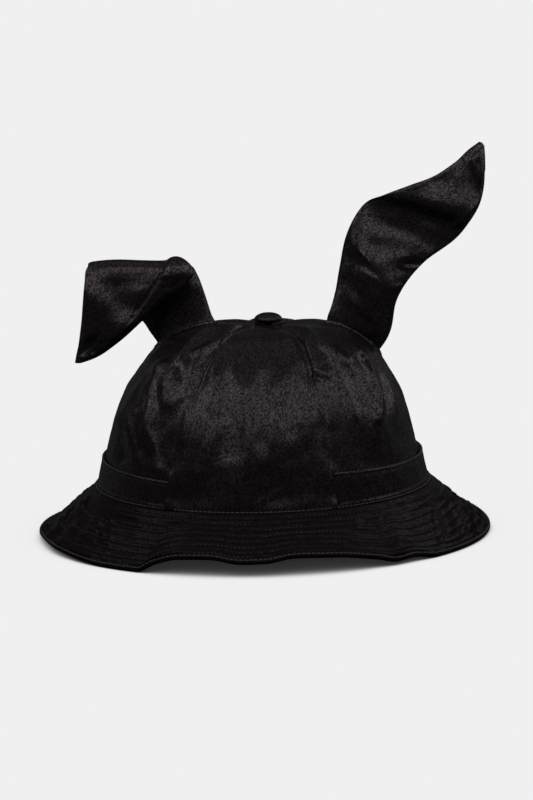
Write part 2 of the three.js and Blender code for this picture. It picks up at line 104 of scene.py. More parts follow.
def read_rows(rows: Sequence[NamedTuple], column: str, at: np.ndarray, flat: bool = False) -> np.ndarray:
    """Reads one column of a table between its rows, on a smooth line.

    Args:
        rows: The table. Its first column is the place of each row.
        column: The name of the column to read.
        at: The places to read it at.
        flat: Whether the line may not overshoot its rows.

    Returns:
        The column's values at those places.
    """
    places = np.array([row[0] for row in rows], float)
    values = np.array([getattr(row, column) for row in rows], float)
    slopes = np.diff(values) / np.diff(places)
    before, after = slopes[:-1], slopes[1:]
    inner = (before + after) / 2
    if flat:
        total = np.where(before + after == 0, 1.0, before + after)
        inner = np.where(before * after > 0, 2 * before * after / total, 0.0)
    leans = np.concatenate([slopes[:1], inner, slopes[-1:]])
    i = np.clip(np.searchsorted(places, at, side="right") - 1, 0, len(rows) - 2)
    span = places[i + 1] - places[i]
    t = np.clip((at - places[i]) / span, 0.0, 1.0)
    held = values[i] * (1 + 2 * t) * (1 - t) ** 2 + values[i + 1] * t * t * (3 - 2 * t)
    return held + span * (leans[i] * t * (1 - t) ** 2 - leans[i + 1] * t * t * (1 - t))


class SoftWaves:
    """Smooth random waves over a plane, the same in every run."""

    SIZE = 64
    GAIN = 2.4

    def __init__(self, seed: int) -> None:
        """Draws the waves' heights from a seed."""
        self.heights = np.random.default_rng(seed).uniform(-1.0, 1.0, (self.SIZE, self.SIZE))

    @staticmethod
    def weights(t: np.ndarray) -> tuple[np.ndarray, ...]:
        """Returns the four weights of a smooth blend at a share of a cell.

        Args:
            t: How far through a cell, 0 to 1.

        Returns:
            The weights of the four nearest heights.
        """
        return (
            (1 - t) ** 3 / 6,
            (3 * t**3 - 6 * t**2 + 4) / 6,
            (-3 * t**3 + 3 * t**2 + 3 * t + 1) / 6,
            t**3 / 6,
        )

    def at(self, x: np.ndarray, y: np.ndarray) -> np.ndarray:
        """Returns the waves' height, about -1 to 1, at places counted in wave lengths.

        Args:
            x: Places sideways, in wave lengths.
            y: Places upwards, in wave lengths.

        Returns:
            The height at each place.
        """
        x, y = np.broadcast_arrays(x, y)
        column, row = np.floor(x).astype(int), np.floor(y).astype(int)
        across, up = self.weights(x - column), self.weights(y - row)
        total = np.zeros(x.shape)
        for i in range(4):
            for j in range(4):
                total += across[i] * up[j] * self.heights[(column + i) % self.SIZE, (row + j) % self.SIZE]
        return self.GAIN * total


class OutlineRow(NamedTuple):
    """A point of the crown's side outline, in shares of its half width and its height."""

    out: float
    up: float


class Seam(NamedTuple):
    """A gore seam. drift is how far it wanders half way up, top is how far up it is sunk."""

    turn: float
    drift: float
    top: float


class Fold(NamedTuple):
    """A fold or dent of the crown, from one place to another, in shares of the fold's sizes."""

    from_turn: float
    from_along: float
    to_turn: float
    to_along: float
    wide: float
    rise: float


class BandRow(NamedTuple):
    """The band's height at a turn, as a share of its full height."""

    turn: float
    tall: float


class BrimRow(NamedTuple):
    """A point of the brim's side outline, in shares of its reach and its drop."""

    out: float
    down: float


class EdgeRow(NamedTuple):
    """The brim's edge at a turn. lift is a share of the seam's height, reach one of the brim's."""

    turn: float
    lift: float
    reach: float


class EarRow(NamedTuple):
    """A section of an ear, in shares of its length, width and thickness, and degrees."""

    at: float
    x: float
    y: float
    z: float
    wide: float
    tilt: float
    swing: float
    thick: float
    bow: float
    roll: float


class Crease(NamedTuple):
    """A crease, ridge or dent along a line of places, in metres wide and high.

    Its places are turns and alongs on the crown, and s and at on an ear, where s runs from -1 at the
    ear's -X edge to 1 at its +X edge. lean makes the flank on its left wider than the one on its right,
    and taper is the share of its length in which each end fades out.
    """

    places: tuple[tuple[float, float], ...]
    wide: float
    rise: float
    lean: float = 0.0
    taper: float = 0.22


class RollRow(NamedTuple):
    """The puffed roll beside an ear's crease: how far it spreads and how high it stands."""

    at: float
    spread: float
    rise: float


CROWN_OUTLINE = tuple(OutlineRow(*row) for row in (
    (1.0, 0.0), (0.981, 0.092), (0.963, 0.178), (0.92, 0.346), (0.888, 0.452), (0.851, 0.548),
    (0.798, 0.65), (0.733, 0.746), (0.656, 0.838), (0.538, 0.92), (0.409, 0.968), (0.27, 0.992),
    (0.13, 0.996), (0.0, 0.98),
))

SEAMS = tuple(Seam(*row) for row in (
    (-150, 1.5, 0.95), (-90, 0, 0.46), (-30, 3.5, 0.95), (30, -1, 0.95), (90, 0, 0.46), (150, -1.5, 0.95),
))

CROWN_FOLDS = tuple(Fold(*row) for row in (
    (-66, 0.88, -34, 0.4, 0.9, 1.2), (-30, 0.88, -21, 0.46, 0.7, 0.8), (24, 0.86, 22, 0.44, 0.7, 0.5),
    (-64, 0.56, -40, 0.41, 0.9, 0.7), (-76, 0.55, -46, 0.6, 1.2, -0.8), (-68, 0.44, -56, 0.16, 1.4, 0.7),
    (-57, 0.46, -41, 0.18, 1.4, 0.8), (-15, 0.62, -16, 0.16, 1.3, 0.3), (-4, 0.6, -5, 0.12, 1.2, 0.3),
    (7, 0.62, 6, 0.14, 1.3, 0.3), (19, 0.64, 17, 0.12, 1.2, 0.3), (44, 0.74, 41, 0.38, 1.1, 0.7),
    (64, 0.62, 52, 0.34, 1.1, 0.8), (78, 0.5, 66, 0.22, 1.2, 0.7), (72, 0.58, 58, 0.5, 1.0, -0.6),
    (112, 0.6, 118, 0.24, 1.4, 0.6), (136, 0.66, 132, 0.3, 1.3, 0.5), (172, 0.6, 174, 0.22, 1.4, 0.5),
    (-164, 0.64, -160, 0.28, 1.4, 0.5), (-130, 0.62, -126, 0.26, 1.3, 0.6),
    (-108, 0.52, -112, 0.2, 1.2, 0.6),
))

BAND_EDGE = tuple(BandRow(*row) for row in (
    (30, 1.12), (55, 1.04), (90, 1.0), (180, 1.0), (270, 0.98), (310, 0.92), (330, 0.88),
))

BRIM_OUTLINE = tuple(BrimRow(*row) for row in (
    (0.0, 0.0), (0.18, 0.2), (0.4, 0.46), (0.62, 0.71), (0.82, 0.9), (1.0, 1.0),
))

BRIM_EDGE = tuple(EdgeRow(*row) for row in (
    (-180, 0.1, 1.0), (-170, 0.0, 1.02), (-160, 0.0, 1.02), (-146, 0.16, 0.97), (-130, 0.05, 1.0),
    (-118, 0.0, 0.96), (-108, 0.0, 0.96), (-98, 0.03, 0.98), (-86, 0.04, 1.0), (-70, 0.11, 1.02),
    (-56, 0.08, 1.06), (-46, 0.03, 1.06), (-38, 0.0, 1.05), (-28, 0.0, 1.04), (-23, 0.17, 1.02),
    (-17, 0.29, 0.99), (-9, 0.31, 0.98), (-1, 0.23, 1.0), (5, 0.24, 1.0), (12, 0.32, 0.98),
    (23, 0.28, 0.99), (33, 0.16, 1.0), (39, 0.06, 1.02), (44, 0.08, 1.01), (52, 0.0, 1.05),
    (72, 0.0, 1.06), (84, 0.01, 1.05), (98, 0.03, 0.99), (108, 0.05, 0.95), (122, 0.0, 0.98),
    (132, 0.0, 1.0), (148, 0.17, 0.96), (165, 0.13, 0.98), (180, 0.1, 1.0),
))

STANDING_EAR = tuple(EarRow(*row) for row in (
    (0.0, 0.0, 0.0, 0.0, 0.74, -30, 0, 1.0, 0.0, 0),
    (0.08, 0.035, 0.0, 0.074, 0.76, -21, -6, 1.1, 0.06, 0),
    (0.16, 0.053, 0.007, 0.154, 0.75, -13, -14, 1.1, 0.1, 0),
    (0.25, 0.076, 0.025, 0.235, 0.82, -20, -17, 1.0, 0.08, 0),
    (0.35, 0.113, 0.043, 0.324, 0.94, -26, -17, 0.9, 0.05, 0),
    (0.47, 0.177, 0.043, 0.417, 1.0, -40, -10, 0.9, -0.03, 0),
    (0.59, 0.278, 0.021, 0.48, 0.98, -33, -7, 0.9, -0.07, 0),
    (0.69, 0.358, 0.004, 0.532, 0.82, -34, -7, 0.9, -0.06, 0),
    (0.78, 0.429, 0.007, 0.585, 0.63, -35, -4, 0.9, -0.03, 0),
    (0.86, 0.479, 0.021, 0.647, 0.45, -41, 0, 0.85, 0.02, 0),
    (0.95, 0.511, 0.046, 0.72, 0.25, -44, 5, 0.7, 0.03, 0),
    (1.0, 0.532, 0.071, 0.772, 0.06, -38, 0, 0.4, 0.0, 0),
))

FOLDED_EAR = tuple(EarRow(*row) for row in (
    (0.0, 0.0, 0.0, 0.0, 0.7, 24, 0, 1.0, 0.0, 0),
    (0.09, -0.034, 0.029, 0.062, 0.78, 27, -3, 1.1, 0.04, 0),
    (0.17, -0.067, 0.057, 0.126, 0.86, 32, -6, 1.0, 0.05, 0),
    (0.25, -0.116, 0.079, 0.181, 0.98, 21, -7, 0.9, 0.03, 0),
    (0.32, -0.156, 0.079, 0.225, 1.11, 10, -6, 0.9, 0.0, 0.2),
    (0.37, -0.185, 0.057, 0.259, 1.23, 2, -4, 0.9, 0.0, 0.5),
    (0.43, -0.199, 0.014, 0.288, 1.22, -1.5, -2, 0.9, 0.0, 0.6),
    (0.49, -0.202, -0.036, 0.269, 1.19, 0.5, -2, 0.9, 0.0, 1.0),
    (0.57, -0.227, -0.064, 0.208, 1.07, 4, -4, 0.9, 0.04, 0.9),
    (0.66, -0.266, -0.071, 0.13, 0.89, 5, -5, 0.9, 0.06, 0.7),
    (0.76, -0.306, -0.064, 0.047, 0.72, 6, -3, 0.9, 0.05, 0.4),
    (0.88, -0.366, -0.054, -0.035, 0.44, 1, -3, 0.8, 0.02, 0),
    (0.96, -0.416, -0.043, -0.086, 0.22, -4, 0, 0.7, 0.0, 0),
    (1.0, -0.449, -0.036, -0.109, 0.06, -1, 0, 0.4, 0.0, 0),
))

CROWN_CREASES = tuple(Crease(*row) for row in (
    (
        ((-36, 0.394), (-30.8, 0.42), (-30.9, 0.463), (-33.5, 0.576), (-30.5, 0.663), (-36.2, 0.717)),
        0.0026, 0.00093, 0.01, 0.25,
    ),
    (((-32.9, 0.75), (-34, 0.763), (-45.6, 0.869)), 0.0013, 0.00168, 0.6, 0.25),
    (((-65.1, 0.554), (-48.1, 0.506), (-41.9, 0.446), (-37.7, 0.353)), 0.0039, 0.00165, -0.03, 0.25),
    (((-41.1, 0.576), (-28.4, 0.671), (-25.6, 0.742)), 0.003, 0.00214, 0.19, 0.25),
    (((-44.9, 0.532), (-40.9, 0.532), (-35, 0.485)), 0.0014, -0.00121, -0.6, 0.25),
    (((-72.3, 0.288), (-57.8, 0.296), (-43.6, 0.102)), 0.0053, 0.00223, -0.15, 0.25),
    (
        ((-53.7, 0.486), (-46, 0.357), (-45.1, 0.288), (-38.3, 0.198), (-36.9, 0.123)),
        0.0019, 0.00086, 0.36, 0.25,
    ),
    (((-60.4, 0.412), (-51, 0.345), (-48.2, 0.248), (-41.2, 0.178)), 0.0033, -0.00072, 0.01, 0.25),
    (((-35.5, 0.39), (-36.7, 0.289), (-35, 0.245), (-35.5, 0.138)), 0.0058, -0.00141, 0.07, 0.25),
    (((-25.9, 0.224), (-26.9, 0.435)), 0.0027, 0.00093, 0.05, 0.25),
    (
        ((-33.7, 0.012), (-20.2, 0.149), (-15.6, 0.266), (-13.1, 0.302), (-9.3, 0.359)),
        0.009, 0.00162, 0.13, 0.25,
    ),
    (((-21.7, 0.55), (-8.5, 0.366), (-6.2, 0.167)), 0.012, -0.00187, -0.4, 0.42),
    (((9.9, 0.632), (3.3, 0.322), (5.9, 0.183)), 0.0047, -0.00169, 0.04, 0.42),
    (((21.7, 0.5), (16, 0.36), (13.8, 0.247)), 0.007, -0.00153, -0.42, 0.42),
    (((-5.9, 0.48), (5.7, 0.418), (-2.1, 0.259)), 0.0063, 0.00042, 0.51, 0.25),
    (((10.4, 0.535), (17.1, 0.339), (8.8, 0.291)), 0.006, 0.00063, -0.26, 0.25),
    (((29.4, 0.493), (28.8, 0.479), (26.1, 0.29)), 0.0053, 0.00127, 0.02, 0.25),
    (((-20.5, 0.516), (-14.6, 0.415)), 0.0027, 0.00103, -0.27, 0.25),
    (((25.1, 0.253), (27.5, 0.177), (26.9, 0.107)), 0.0036, 0.00026, -0.6, 0.25),
    (((-13.4, 0.146), (-8.3, 0.07)), 0.005, -0.00025, 0.06, 0.25),
    (((4.3, 0.165), (9.3, 0.072)), 0.0091, -0.00046, -0.6, 0.25),
    (((13.7, 0.184), (20.7, -0.007)), 0.0103, 0.00051, 0.47, 0.25),
    (((47.3, 0.831), (31.2, 0.673), (30.6, 0.517), (38.2, 0.48)), 0.0033, 0.00237, 0.5, 0.25),
    (((35.7, 0.716), (46.2, 0.551), (50.6, 0.516)), 0.004, 0.00205, 0.03, 0.25),
    (((51.1, 0.62), (56.9, 0.521)), 0.0016, -0.00033, -0.6, 0.25),
    (((57.6, 0.568), (67, 0.545), (61.2, 0.457), (58.3, 0.374)), 0.004, 0.00251, 0.58, 0.25),
    (((69.6, 0.468), (62.4, 0.309), (57.2, 0.285)), 0.0009, -0.00047, -0.08, 0.25),
    (((37.2, 0.218), (35, 0.167), (31.9, 0.136)), 0.0016, 0.00014, -0.06, 0.25),
    (((39.3, 0.434), (38.8, 0.386)), 0.0048, -0.00028, 0.34, 0.25),
    (((49.4, 0.491), (49.8, 0.346)), 0.0035, -0.00151, 0.07, 0.25),
    (((41.8, 0.482), (44.5, 0.299)), 0.0029, 0.00102, 0, 0.25),
    (((60.9, 0.396), (52.6, 0.276)), 0.0043, 0.0035, -0.02, 0.25),
    (((-56.2, 0.351), (-54.1, 0.289), (-46.7, 0.194)), 0.0053, 0.00089, 0.32, 0.22),
    (((-61.9, 0.241), (-58.3, 0.123)), 0.007, -0.00179, 0.1, 0.22),
    (((-9.5, 0.329), (-6.5, 0.185)), 0.0052, -0.00057, 0.16, 0.22),
    (((32.7, 0.421), (32.1, 0.286)), 0.0032, 0.00038, 0.44, 0.22),
    (((59.4, 0.325), (57.1, 0.205)), 0.0052, 0.00085, -0.1, 0.22),
    (((-7, 0.751), (1.3, 0.599)), 0.0061, 0.00055, -0.03, 0.22),
    (((11.1, 0.727), (9.2, 0.604)), 0.0046, 0.0005, -0.6, 0.22),
    (((-17.8, 0.725), (-16.2, 0.606)), 0.0049, 0.00053, 0.2, 0.22),
    (((41, 0.322), (42.4, 0.148)), 0.0043, 0.00025, 0.18, 0.22),
    (((53.3, 0.297), (51.4, 0.202)), 0.0045, 0.00161, 0.24, 0.22),
))

STANDING_CREASES = tuple(Crease(*row) for row in (
    (
        ((-0.7, 0.49), (-0.83, 0.411), (-0.56, 0.353), (-0.53, 0.359), (0.26, 0.332), (0.84, 0.288)),
        0.0087, 0.00233, 0.27, 0.28,
    ),
    (((0.47, 0.369), (0.89, 0.409), (1.08, 0.54)), 0.0048, 0.0028, 0.24, 0.28),
    (((-0.16, 0.417), (0.78, 0.482), (0.79, 0.486)), 0.0039, -0.00041, -0.12, 0.28),
    (((0.64, 0.36), (0.92, 0.414), (1.03, 0.458)), 0.0028, -0.0023, 0.4, 0.28),
    (
        ((-0.74, 0.493), (-0.44, 0.595), (0.09, 0.611), (0.76, 0.661), (0.93, 0.669)),
        0.0061, -0.0028, 0.01, 0.28,
    ),
    (
        ((-1.63, 0.526), (-0.48, 0.679), (-0.14, 0.686), (0.52, 0.704), (0.86, 0.756), (1.12, 0.799)),
        0.0085, 0.003, 0.2, 0.28,
    ),
    (((-0.47, 0.94), (-0.26, 0.938), (0.66, 0.889), (0.88, 0.888)), 0.0079, 0.00256, 0.59, 0.28),
    (((0.92, 0.209), (1.05, 0.342), (0.92, 0.396)), 0.0055, 0.0028, 0.38, 0.28),
    (((1.33, 0.302), (1, 0.355), (1.19, 0.364)), 0.0099, -0.004, 0.09, 0.28),
    (
        ((-0.52, 0.285), (-0.45, 0.292), (0.43, 0.239), (1.02, 0.054), (0.95, 0.073)),
        0.0016, 0.0003, -0.6, 0.28,
    ),
    (((-0.95, 0.123), (0.13, 0.11), (0.55, 0.164), (0.96, 0.078)), 0.0094, -0.00204, -0.04, 0.28),
    (((-0.56, 0.145), (0.74, 0.087)), 0.0034, 0.00079, 0.12, 0.28),
    (((-1.81, 0.417), (-0.17, 0.317), (1.33, 0.161)), 0.0055, 0.0014, 0.1, 0.28),
    (((-0.78, 0.394), (0.93, 0.488)), 0.0058, 0.00164, -0.07, 0.28),
    (((-0.91, 0.594), (0.95, 0.681)), 0.0078, 0.0031, -0.14, 0.28),
    (((-0.66, 0.687), (1.63, 0.8)), 0.0095, 0.00218, 0.38, 0.28),
    (((-0.54, 0.79), (0.94, 0.817)), 0.0102, 0.00053, -0.3, 0.28),
    (((-1.77, 0.328), (-0.94, 0.617)), 0.0085, -0.004, 0.12, 0.28),
    (((0.75, 0.625), (1.09, 0.843)), 0.0016, 0.0028, 0.59, 0.28),
    (((-0.95, 0.219), (-0.06, 0.173), (0.26, 0.169)), 0.0059, -0.00165, -0.08, 0.28),
    (((-0.54, 0.059), (0.88, 0.052)), 0.0023, 0.00018, -0.37, 0.28),
    (((-0.35, 0.317), (-0.31, 0.329)), 0.0049, 0.00119, -0.45, 0.28),
    (((0.01, 0.187), (0.59, 0.159)), 0.0051, 0.00098, -0.02, 0.28),
    (((-0.47, 0.257), (0.36, 0.239)), 0.0043, 0.00083, -0.6, 0.28),
    (((0.07, 0.901), (0.69, 0.974)), 0.0029, -0.00081, -0.08, 0.28),
))

FOLDED_CREASES = tuple(Crease(*row) for row in (
    (
        ((-1.02, 0.531), (-0.89, 0.567), (-0.71, 0.629), (-0.3, 0.69), (0.37, 0.755), (1.25, 0.748)),
        0.009, 0.0035, 0.19, 0.28,
    ),
    (((-0.71, 0.657), (0.52, 0.63)), 0.012, 0.0017, 0, 0.28),
    (((-1.04, 0.772), (0.98, 0.78)), 0.012, 0.0035, -0.05, 0.28),
    (((-0.31, 0.869), (0.72, 0.884)), 0.0086, 0.0035, -0.31, 0.28),
    (((0.24, 0.467), (0.22, 0.735)), 0.012, -0.00093, 0.6, 0.28),
    (((-0.96, 0.565), (-0.61, 0.858)), 0.0051, 0.0027, -0.6, 0.28),
    (((-0.09, 0.653), (0.3, 0.756)), 0.0014, -0.00022, 0.18, 0.28),
    (((-0.46, 0.987), (0.39, 0.906)), 0.0022, 0.00339, -0.6, 0.28),
    (((0.61, 0.48), (0.61, 0.548), (0.62, 0.6), (0.62, 0.65), (0.62, 0.7), (0.61, 0.75)), 0.0012, -0.0018),
    (((0.25, 0.58), (0.5, 0.66), (0.64, 0.72)), 0.0024, 0.0009),
    (((0.84, 0.478), (0.92, 0.5), (0.935, 0.54), (0.9, 0.58), (0.84, 0.61)), 0.0012, -0.0018),
    (((0.74, 0.5), (0.75, 0.56)), 0.0034, 0.002),
    (((0.79, 0.6), (0.82, 0.7)), 0.0008, -0.0006),
))

NO_ROLL = (RollRow(0.0, 0.0, 0.0), RollRow(1.0, 0.0, 0.0))

FOLDED_ROLL = tuple(RollRow(*row) for row in (
    (0.0, 0.0, 0.0), (0.4, 0.0, 0.0), (0.45, 0.0015, 0.0022), (0.5, 0.0055, 0.0045),
    (0.55, 0.0088, 0.0052), (0.6, 0.0085, 0.0045), (0.66, 0.0045, 0.0032), (0.72, 0.0012, 0.0018),
    (0.8, 0.0, 0.0), (1.0, 0.0, 0.0),
))


def deselect_all() -> None:
    """Leaves nothing selected, so that the next operator acts on its own piece alone."""
    if bpy.context.object and bpy.context.object.mode != "OBJECT":
        bpy.ops.object.mode_set(mode="OBJECT")
    bpy.ops.object.select_all(action="DESELECT")


def pick(piece: bpy.types.Object) -> None:
    """Selects one piece and makes it the active one.

    Args:
        piece: The piece.
    """
    deselect_all()
    piece.select_set(True)
    bpy.context.view_layer.objects.active = piece


def read_points(piece: bpy.types.Object) -> np.ndarray:
    """Returns the piece's vertices as rows of x, y and z.

    Args:
        piece: The piece.

    Returns:
        One row for each vertex.
    """
    points = np.empty(3 * len(piece.data.vertices), np.float32)
    piece.data.vertices.foreach_get("co", points)
    return points.reshape(-1, 3).astype(float)


def write_points(piece: bpy.types.Object, points: np.ndarray) -> None:
    """Moves the piece's vertices to rows of x, y and z."""
    piece.data.vertices.foreach_set("co", points.astype(np.float32).ravel())
    piece.data.update()


def crowd(share: np.ndarray, amount: float) -> np.ndarray:
    """Returns shares that lie closer together near 0 and 1, by an amount up to 1."""
    return share - amount * np.sin(2 * math.pi * share) / (2 * math.pi)


def round_edge(away: np.ndarray, radius: float) -> np.ndarray:
    """Returns how far a rounded edge has dropped at a distance from it."""
    short = 1.0 - np.clip(away / radius, 0.0, 1.0)
    return radius * (1.0 - np.sqrt(1.0 - short * short))


def crease_height(crease: Crease, to_x: np.ndarray, to_y: np.ndarray) -> np.ndarray:
    """Returns how high a crease stands at each of many points.

    Args:
        crease: The crease.
        to_x: The way sideways from the points to each of the crease's places, a row for each place.
        to_y: The same way upwards.

    Returns:
        The crease's height at the points.
    """
    nearest = np.full(to_x.shape[1:], np.inf)
    share, side = np.zeros(nearest.shape), np.zeros(nearest.shape)
    spans = len(crease.places) - 1
    for k in range(spans):
        x, y = to_x[k], to_y[k]
        way_x, way_y = to_x[k + 1] - x, to_y[k + 1] - y
        t = np.clip(-(x * way_x + y * way_y) / (way_x**2 + way_y**2), 0.0, 1.0)
        away = np.hypot(x + t * way_x, y + t * way_y)
        nearer = away < nearest
        nearest = np.where(nearer, away, nearest)
        share = np.where(nearer, (k + t) / spans, share)
        side = np.where(nearer, np.sign(way_y * x - way_x * y), side)
    wide = crease.wide * (1 + crease.lean * side * ramp(0.0, crease.wide, nearest))
    fade = ramp(-0.06, crease.taper - 0.06, share) * (1 - ramp(1.06 - crease.taper, 1.06, share))
    return crease.rise * fade * bell(nearest / wide)


class ClothPiece:
    """One piece of cloth, from a flat grid to its finished mesh."""

    def __init__(self, name: str, columns: int, rows: int, wrap: Wrap = Wrap.OPEN) -> None:
        """Adds the flat grid.

        Args:
            name: The piece's name.
            columns: How many faces the grid has across.
            rows: How many faces it has up.
            wrap: How its sides will meet.
        """
        deselect_all()
        bpy.ops.mesh.primitive_grid_add(x_subdivisions=columns, y_subdivisions=rows, size=1, calc_uvs=True)
        self.piece = bpy.context.active_object
        self.piece.name = self.piece.data.name = name
        self.wrap = wrap

    def shape(self, place: Place, cut: Place) -> None:
        """Moves the grid to its place and lays its pattern out at its real size.

        Args:
            place: Gives the points for shares across and up.
            cut: Gives the same points on the flat cloth, in metres.
        """
        points = read_points(self.piece)
        across, up = points[:, 0] + 0.5, points[:, 1] + 0.5
        write_points(self.piece, place(across, up))
        layer = self.piece.data.uv_layers[0].data
        shares = np.empty(2 * len(layer), np.float32)
        layer.foreach_get("uv", shares)
        shares = shares.reshape(-1, 2).astype(float)
        layer.foreach_set("uv", cut(shares[:, 0], shares[:, 1]).astype(np.float32).ravel())

    def close(self) -> None:
        """Joins the sides that meet, closes what is open and turns the faces outwards."""
        pick(self.piece)
        bpy.ops.object.mode_set(mode="EDIT")
        bpy.ops.mesh.select_all(action="SELECT")
        bpy.ops.mesh.remove_doubles(threshold=1e-6)
        if self.wrap is Wrap.TUBE:
            bpy.ops.mesh.select_all(action="DESELECT")
            bpy.ops.mesh.select_non_manifold()
            bpy.ops.mesh.fill()
            bpy.ops.mesh.select_all(action="SELECT")
        bpy.ops.mesh.normals_make_consistent(inside=False)
        bpy.ops.object.mode_set(mode="OBJECT")

    def thicken(self, wall: float) -> None:
        """Gives the cloth its wall, on its inner side.

        Args:
            wall: How thick it is.
        """
        pick(self.piece)
        solidify = self.piece.modifiers.new("wall", "SOLIDIFY")
        solidify.thickness = wall
        solidify.offset = -1.0
        solidify.use_even_offset = False
        bpy.ops.object.modifier_apply(modifier=solidify.name)

    def dress(self, material: bpy.types.Material, stands_for: str) -> bpy.types.Object:
        """Smooths the piece, gives it its finish and puts it in the place of its solid.

        Args:
            material: The finish.
            stands_for: The solid that it replaces.

        Returns:
            The finished piece.
        """
        return finish_piece(self.piece, material, stands_for)


def finish_piece(
    piece: bpy.types.Object, material: bpy.types.Material, stands_for: str | None = None
) -> bpy.types.Object:
    """Smooths a piece, gives it its finish and lets it ride on the hat.

    Args:
        piece: The piece.
        material: The finish.
        stands_for: The solid that it replaces, if it does.

    Returns:
        The same piece.
    """
    pick(piece)
    bpy.ops.object.shade_smooth_by_angle(angle=math.radians(60))
    piece.data.materials.clear()
    piece.data.materials.append(material)
    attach(piece, BODY)
    if stands_for:
        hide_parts(stands_for)
    LOG.info("%s: %d faces", piece.name, len(piece.data.polygons))
    return piece


@dataclass
class CrownForm:
    """The crown's surface, which its gores, the band and the ears' bases follow."""

    opening_width: float = 0.182
    opening_length: float = 0.192
    wall: float = 0.002
    height: float = 0.090
    lean: float = 0.0055
    squeeze: float = 0.011
    puff: float = 0.0012
    seam_sink: float = 0.0015
    seam_reach: float = 0.005
    seam_fade: float = 0.12
    fold_rise: float = 0.003
    fold_width: float = 0.006
    fold_margin: float = 0.008
    ear_lift: float = 0.0022
    ear_lift_reach: float = 0.024
    ear_base_width: float = 0.031
    ear_from: tuple[tuple[float, float], ...] = ((-90.0, 0.029), (90.0, 0.033))
    seam_height: float = 0.0285
    band_height: float = 0.0165
    spline_steps: int = 1200
    length: float = field(init=False)

    def __post_init__(self) -> None:
        """Measures the side outline along its own length."""
        self.half_width = self.opening_width / 2 + self.wall
        self.half_length = self.opening_length / 2 + self.wall
        self.steps = np.linspace(0.0, 1.0, self.spline_steps + 1)
        self.shares = self.spline(self.steps)
        real = self.shares * [self.half_width, self.height]
        self.lengths = np.concatenate([[0.0], np.cumsum(np.linalg.norm(np.diff(real, axis=0), axis=1))])
        self.length = float(self.lengths[-1])

    @staticmethod
    def spline(share: np.ndarray) -> np.ndarray:
        """Returns the outline's shares of width and height, on a smooth line through its points.

        Args:
            share: Shares of the way through the outline's points.

        Returns:
            Rows of a share of the width and one of the height.
        """
        rows = np.array(CROWN_OUTLINE, float)
        last = len(rows) - 1
        place = np.clip(share, 0.0, 1.0) * last
        i = np.minimum(place.astype(int), last - 1)
        t = (place - i)[..., None]
        before, start, end, after = (rows[np.clip(i + k, 0, last)] for k in (-1, 0, 1, 2))
        leave, arrive = (end - before) / 2, (after - start) / 2
        return (
            (2 * start - 2 * end + leave + arrive) * t**3
            + (-3 * start + 3 * end - 2 * leave - arrive) * t**2
            + leave * t
            + start
        )

    def outline(self, along: np.ndarray) -> tuple[np.ndarray, np.ndarray]:
        """Returns the outline's shares of width and height at shares of its length.

        Args:
            along: Shares of the outline's length, from the brim seam to the top.

        Returns:
            The shares of width and the shares of height.
        """
        length = np.clip(along, 0.0, 1.0) * self.length
        out, up = (np.interp(length, self.lengths, self.shares[:, k]) for k in (0, 1))
        return out, up

    def radius(self, along: np.ndarray) -> np.ndarray:
        """Returns the outline's distance from the middle."""
        return self.half_width * self.outline(along)[0]

    def find_along(self, radius: np.ndarray) -> np.ndarray:
        """Returns the place along the outline that lies at a radius."""
        radii = self.half_width * self.shares[:, 0]
        return np.interp(-np.asarray(radius), -radii, self.lengths / self.length)

    def plain(self, turn: np.ndarray, along: np.ndarray) -> np.ndarray:
        """Returns points on the crown before its seams and folds.

        Args:
            turn: Degrees from the front, towards +X.
            along: Shares of the outline's length, from the brim seam to the top.

        Returns:
            Points in metres.
        """
        out, up = self.outline(along)
        half_length = self.half_length + (self.half_width - self.squeeze - self.half_length) * up**4
        angle = np.radians(turn)
        return np.stack(
            [
                self.half_width * out * np.sin(angle) + self.lean * up**5,
                -half_length * out * np.cos(angle),
                self.seam_height + self.height * up,
            ],
            axis=-1,
        )

    def normal(self, turn: np.ndarray, along: np.ndarray) -> np.ndarray:
        """Returns the way out of the surface, level at the brim seam.

        Args:
            turn: Degrees from the front, towards +X.
            along: Shares of the outline's length, from the brim seam to the top.

        Returns:
            Ways of length 1.
        """
        step, top = 0.004, 0.985
        above = self.plain(turn, np.minimum(along + step, 0.992))
        below = self.plain(turn, np.maximum(np.minimum(along, 0.992) - step, 0.0))
        right = self.plain(turn + 1, np.minimum(along, top))
        left = self.plain(turn - 1, np.minimum(along, top))
        normal = np.cross(right - left, above - below)
        normal[..., 2] *= ramp(0.0, 0.03, along)
        return unit(normal)

    def seam_turn(self, seam: Seam, along: np.ndarray) -> np.ndarray:
        """Returns where a seam runs at a place up the crown."""
        return seam.turn + seam.drift * np.sin(math.pi * along)

    def round_crown(self, start: np.ndarray, end: np.ndarray, along: np.ndarray) -> np.ndarray:
        """Returns the distance round the crown between two turns."""
        return np.radians(turn_between(start, end)) * self.radius(along)

    def band_top(self, turn: np.ndarray) -> np.ndarray:
        """Returns how far up the outline the band reaches."""
        tall = read_rows(BAND_EDGE, "tall", np.mod(turn, FULL_TURN))
        return self.band_height * tall / self.length

    def fold_height(self, fold: Fold, turn: np.ndarray, along: np.ndarray) -> np.ndarray:
        """Returns how high one fold stands.

        Args:
            fold: The fold.
            turn: Degrees from the front, towards +X.
            along: Shares of the outline's length, from the brim seam to the top.

        Returns:
            Its height in metres.
        """
        length = (fold.to_along - fold.from_along) * self.length
        sideways = self.round_crown(fold.from_turn, fold.to_turn, along)
        x = self.round_crown(fold.from_turn, turn, along)
        y = (along - fold.from_along) * self.length
        share = np.clip((x * sideways + y * length) / (sideways**2 + length**2), 0.0, 1.0)
        away = np.hypot(x - share * sideways, y - share * length)
        across = bell(away / (self.fold_width * fold.wide))
        return self.fold_rise * fold.rise * np.sin(math.pi * share) * across

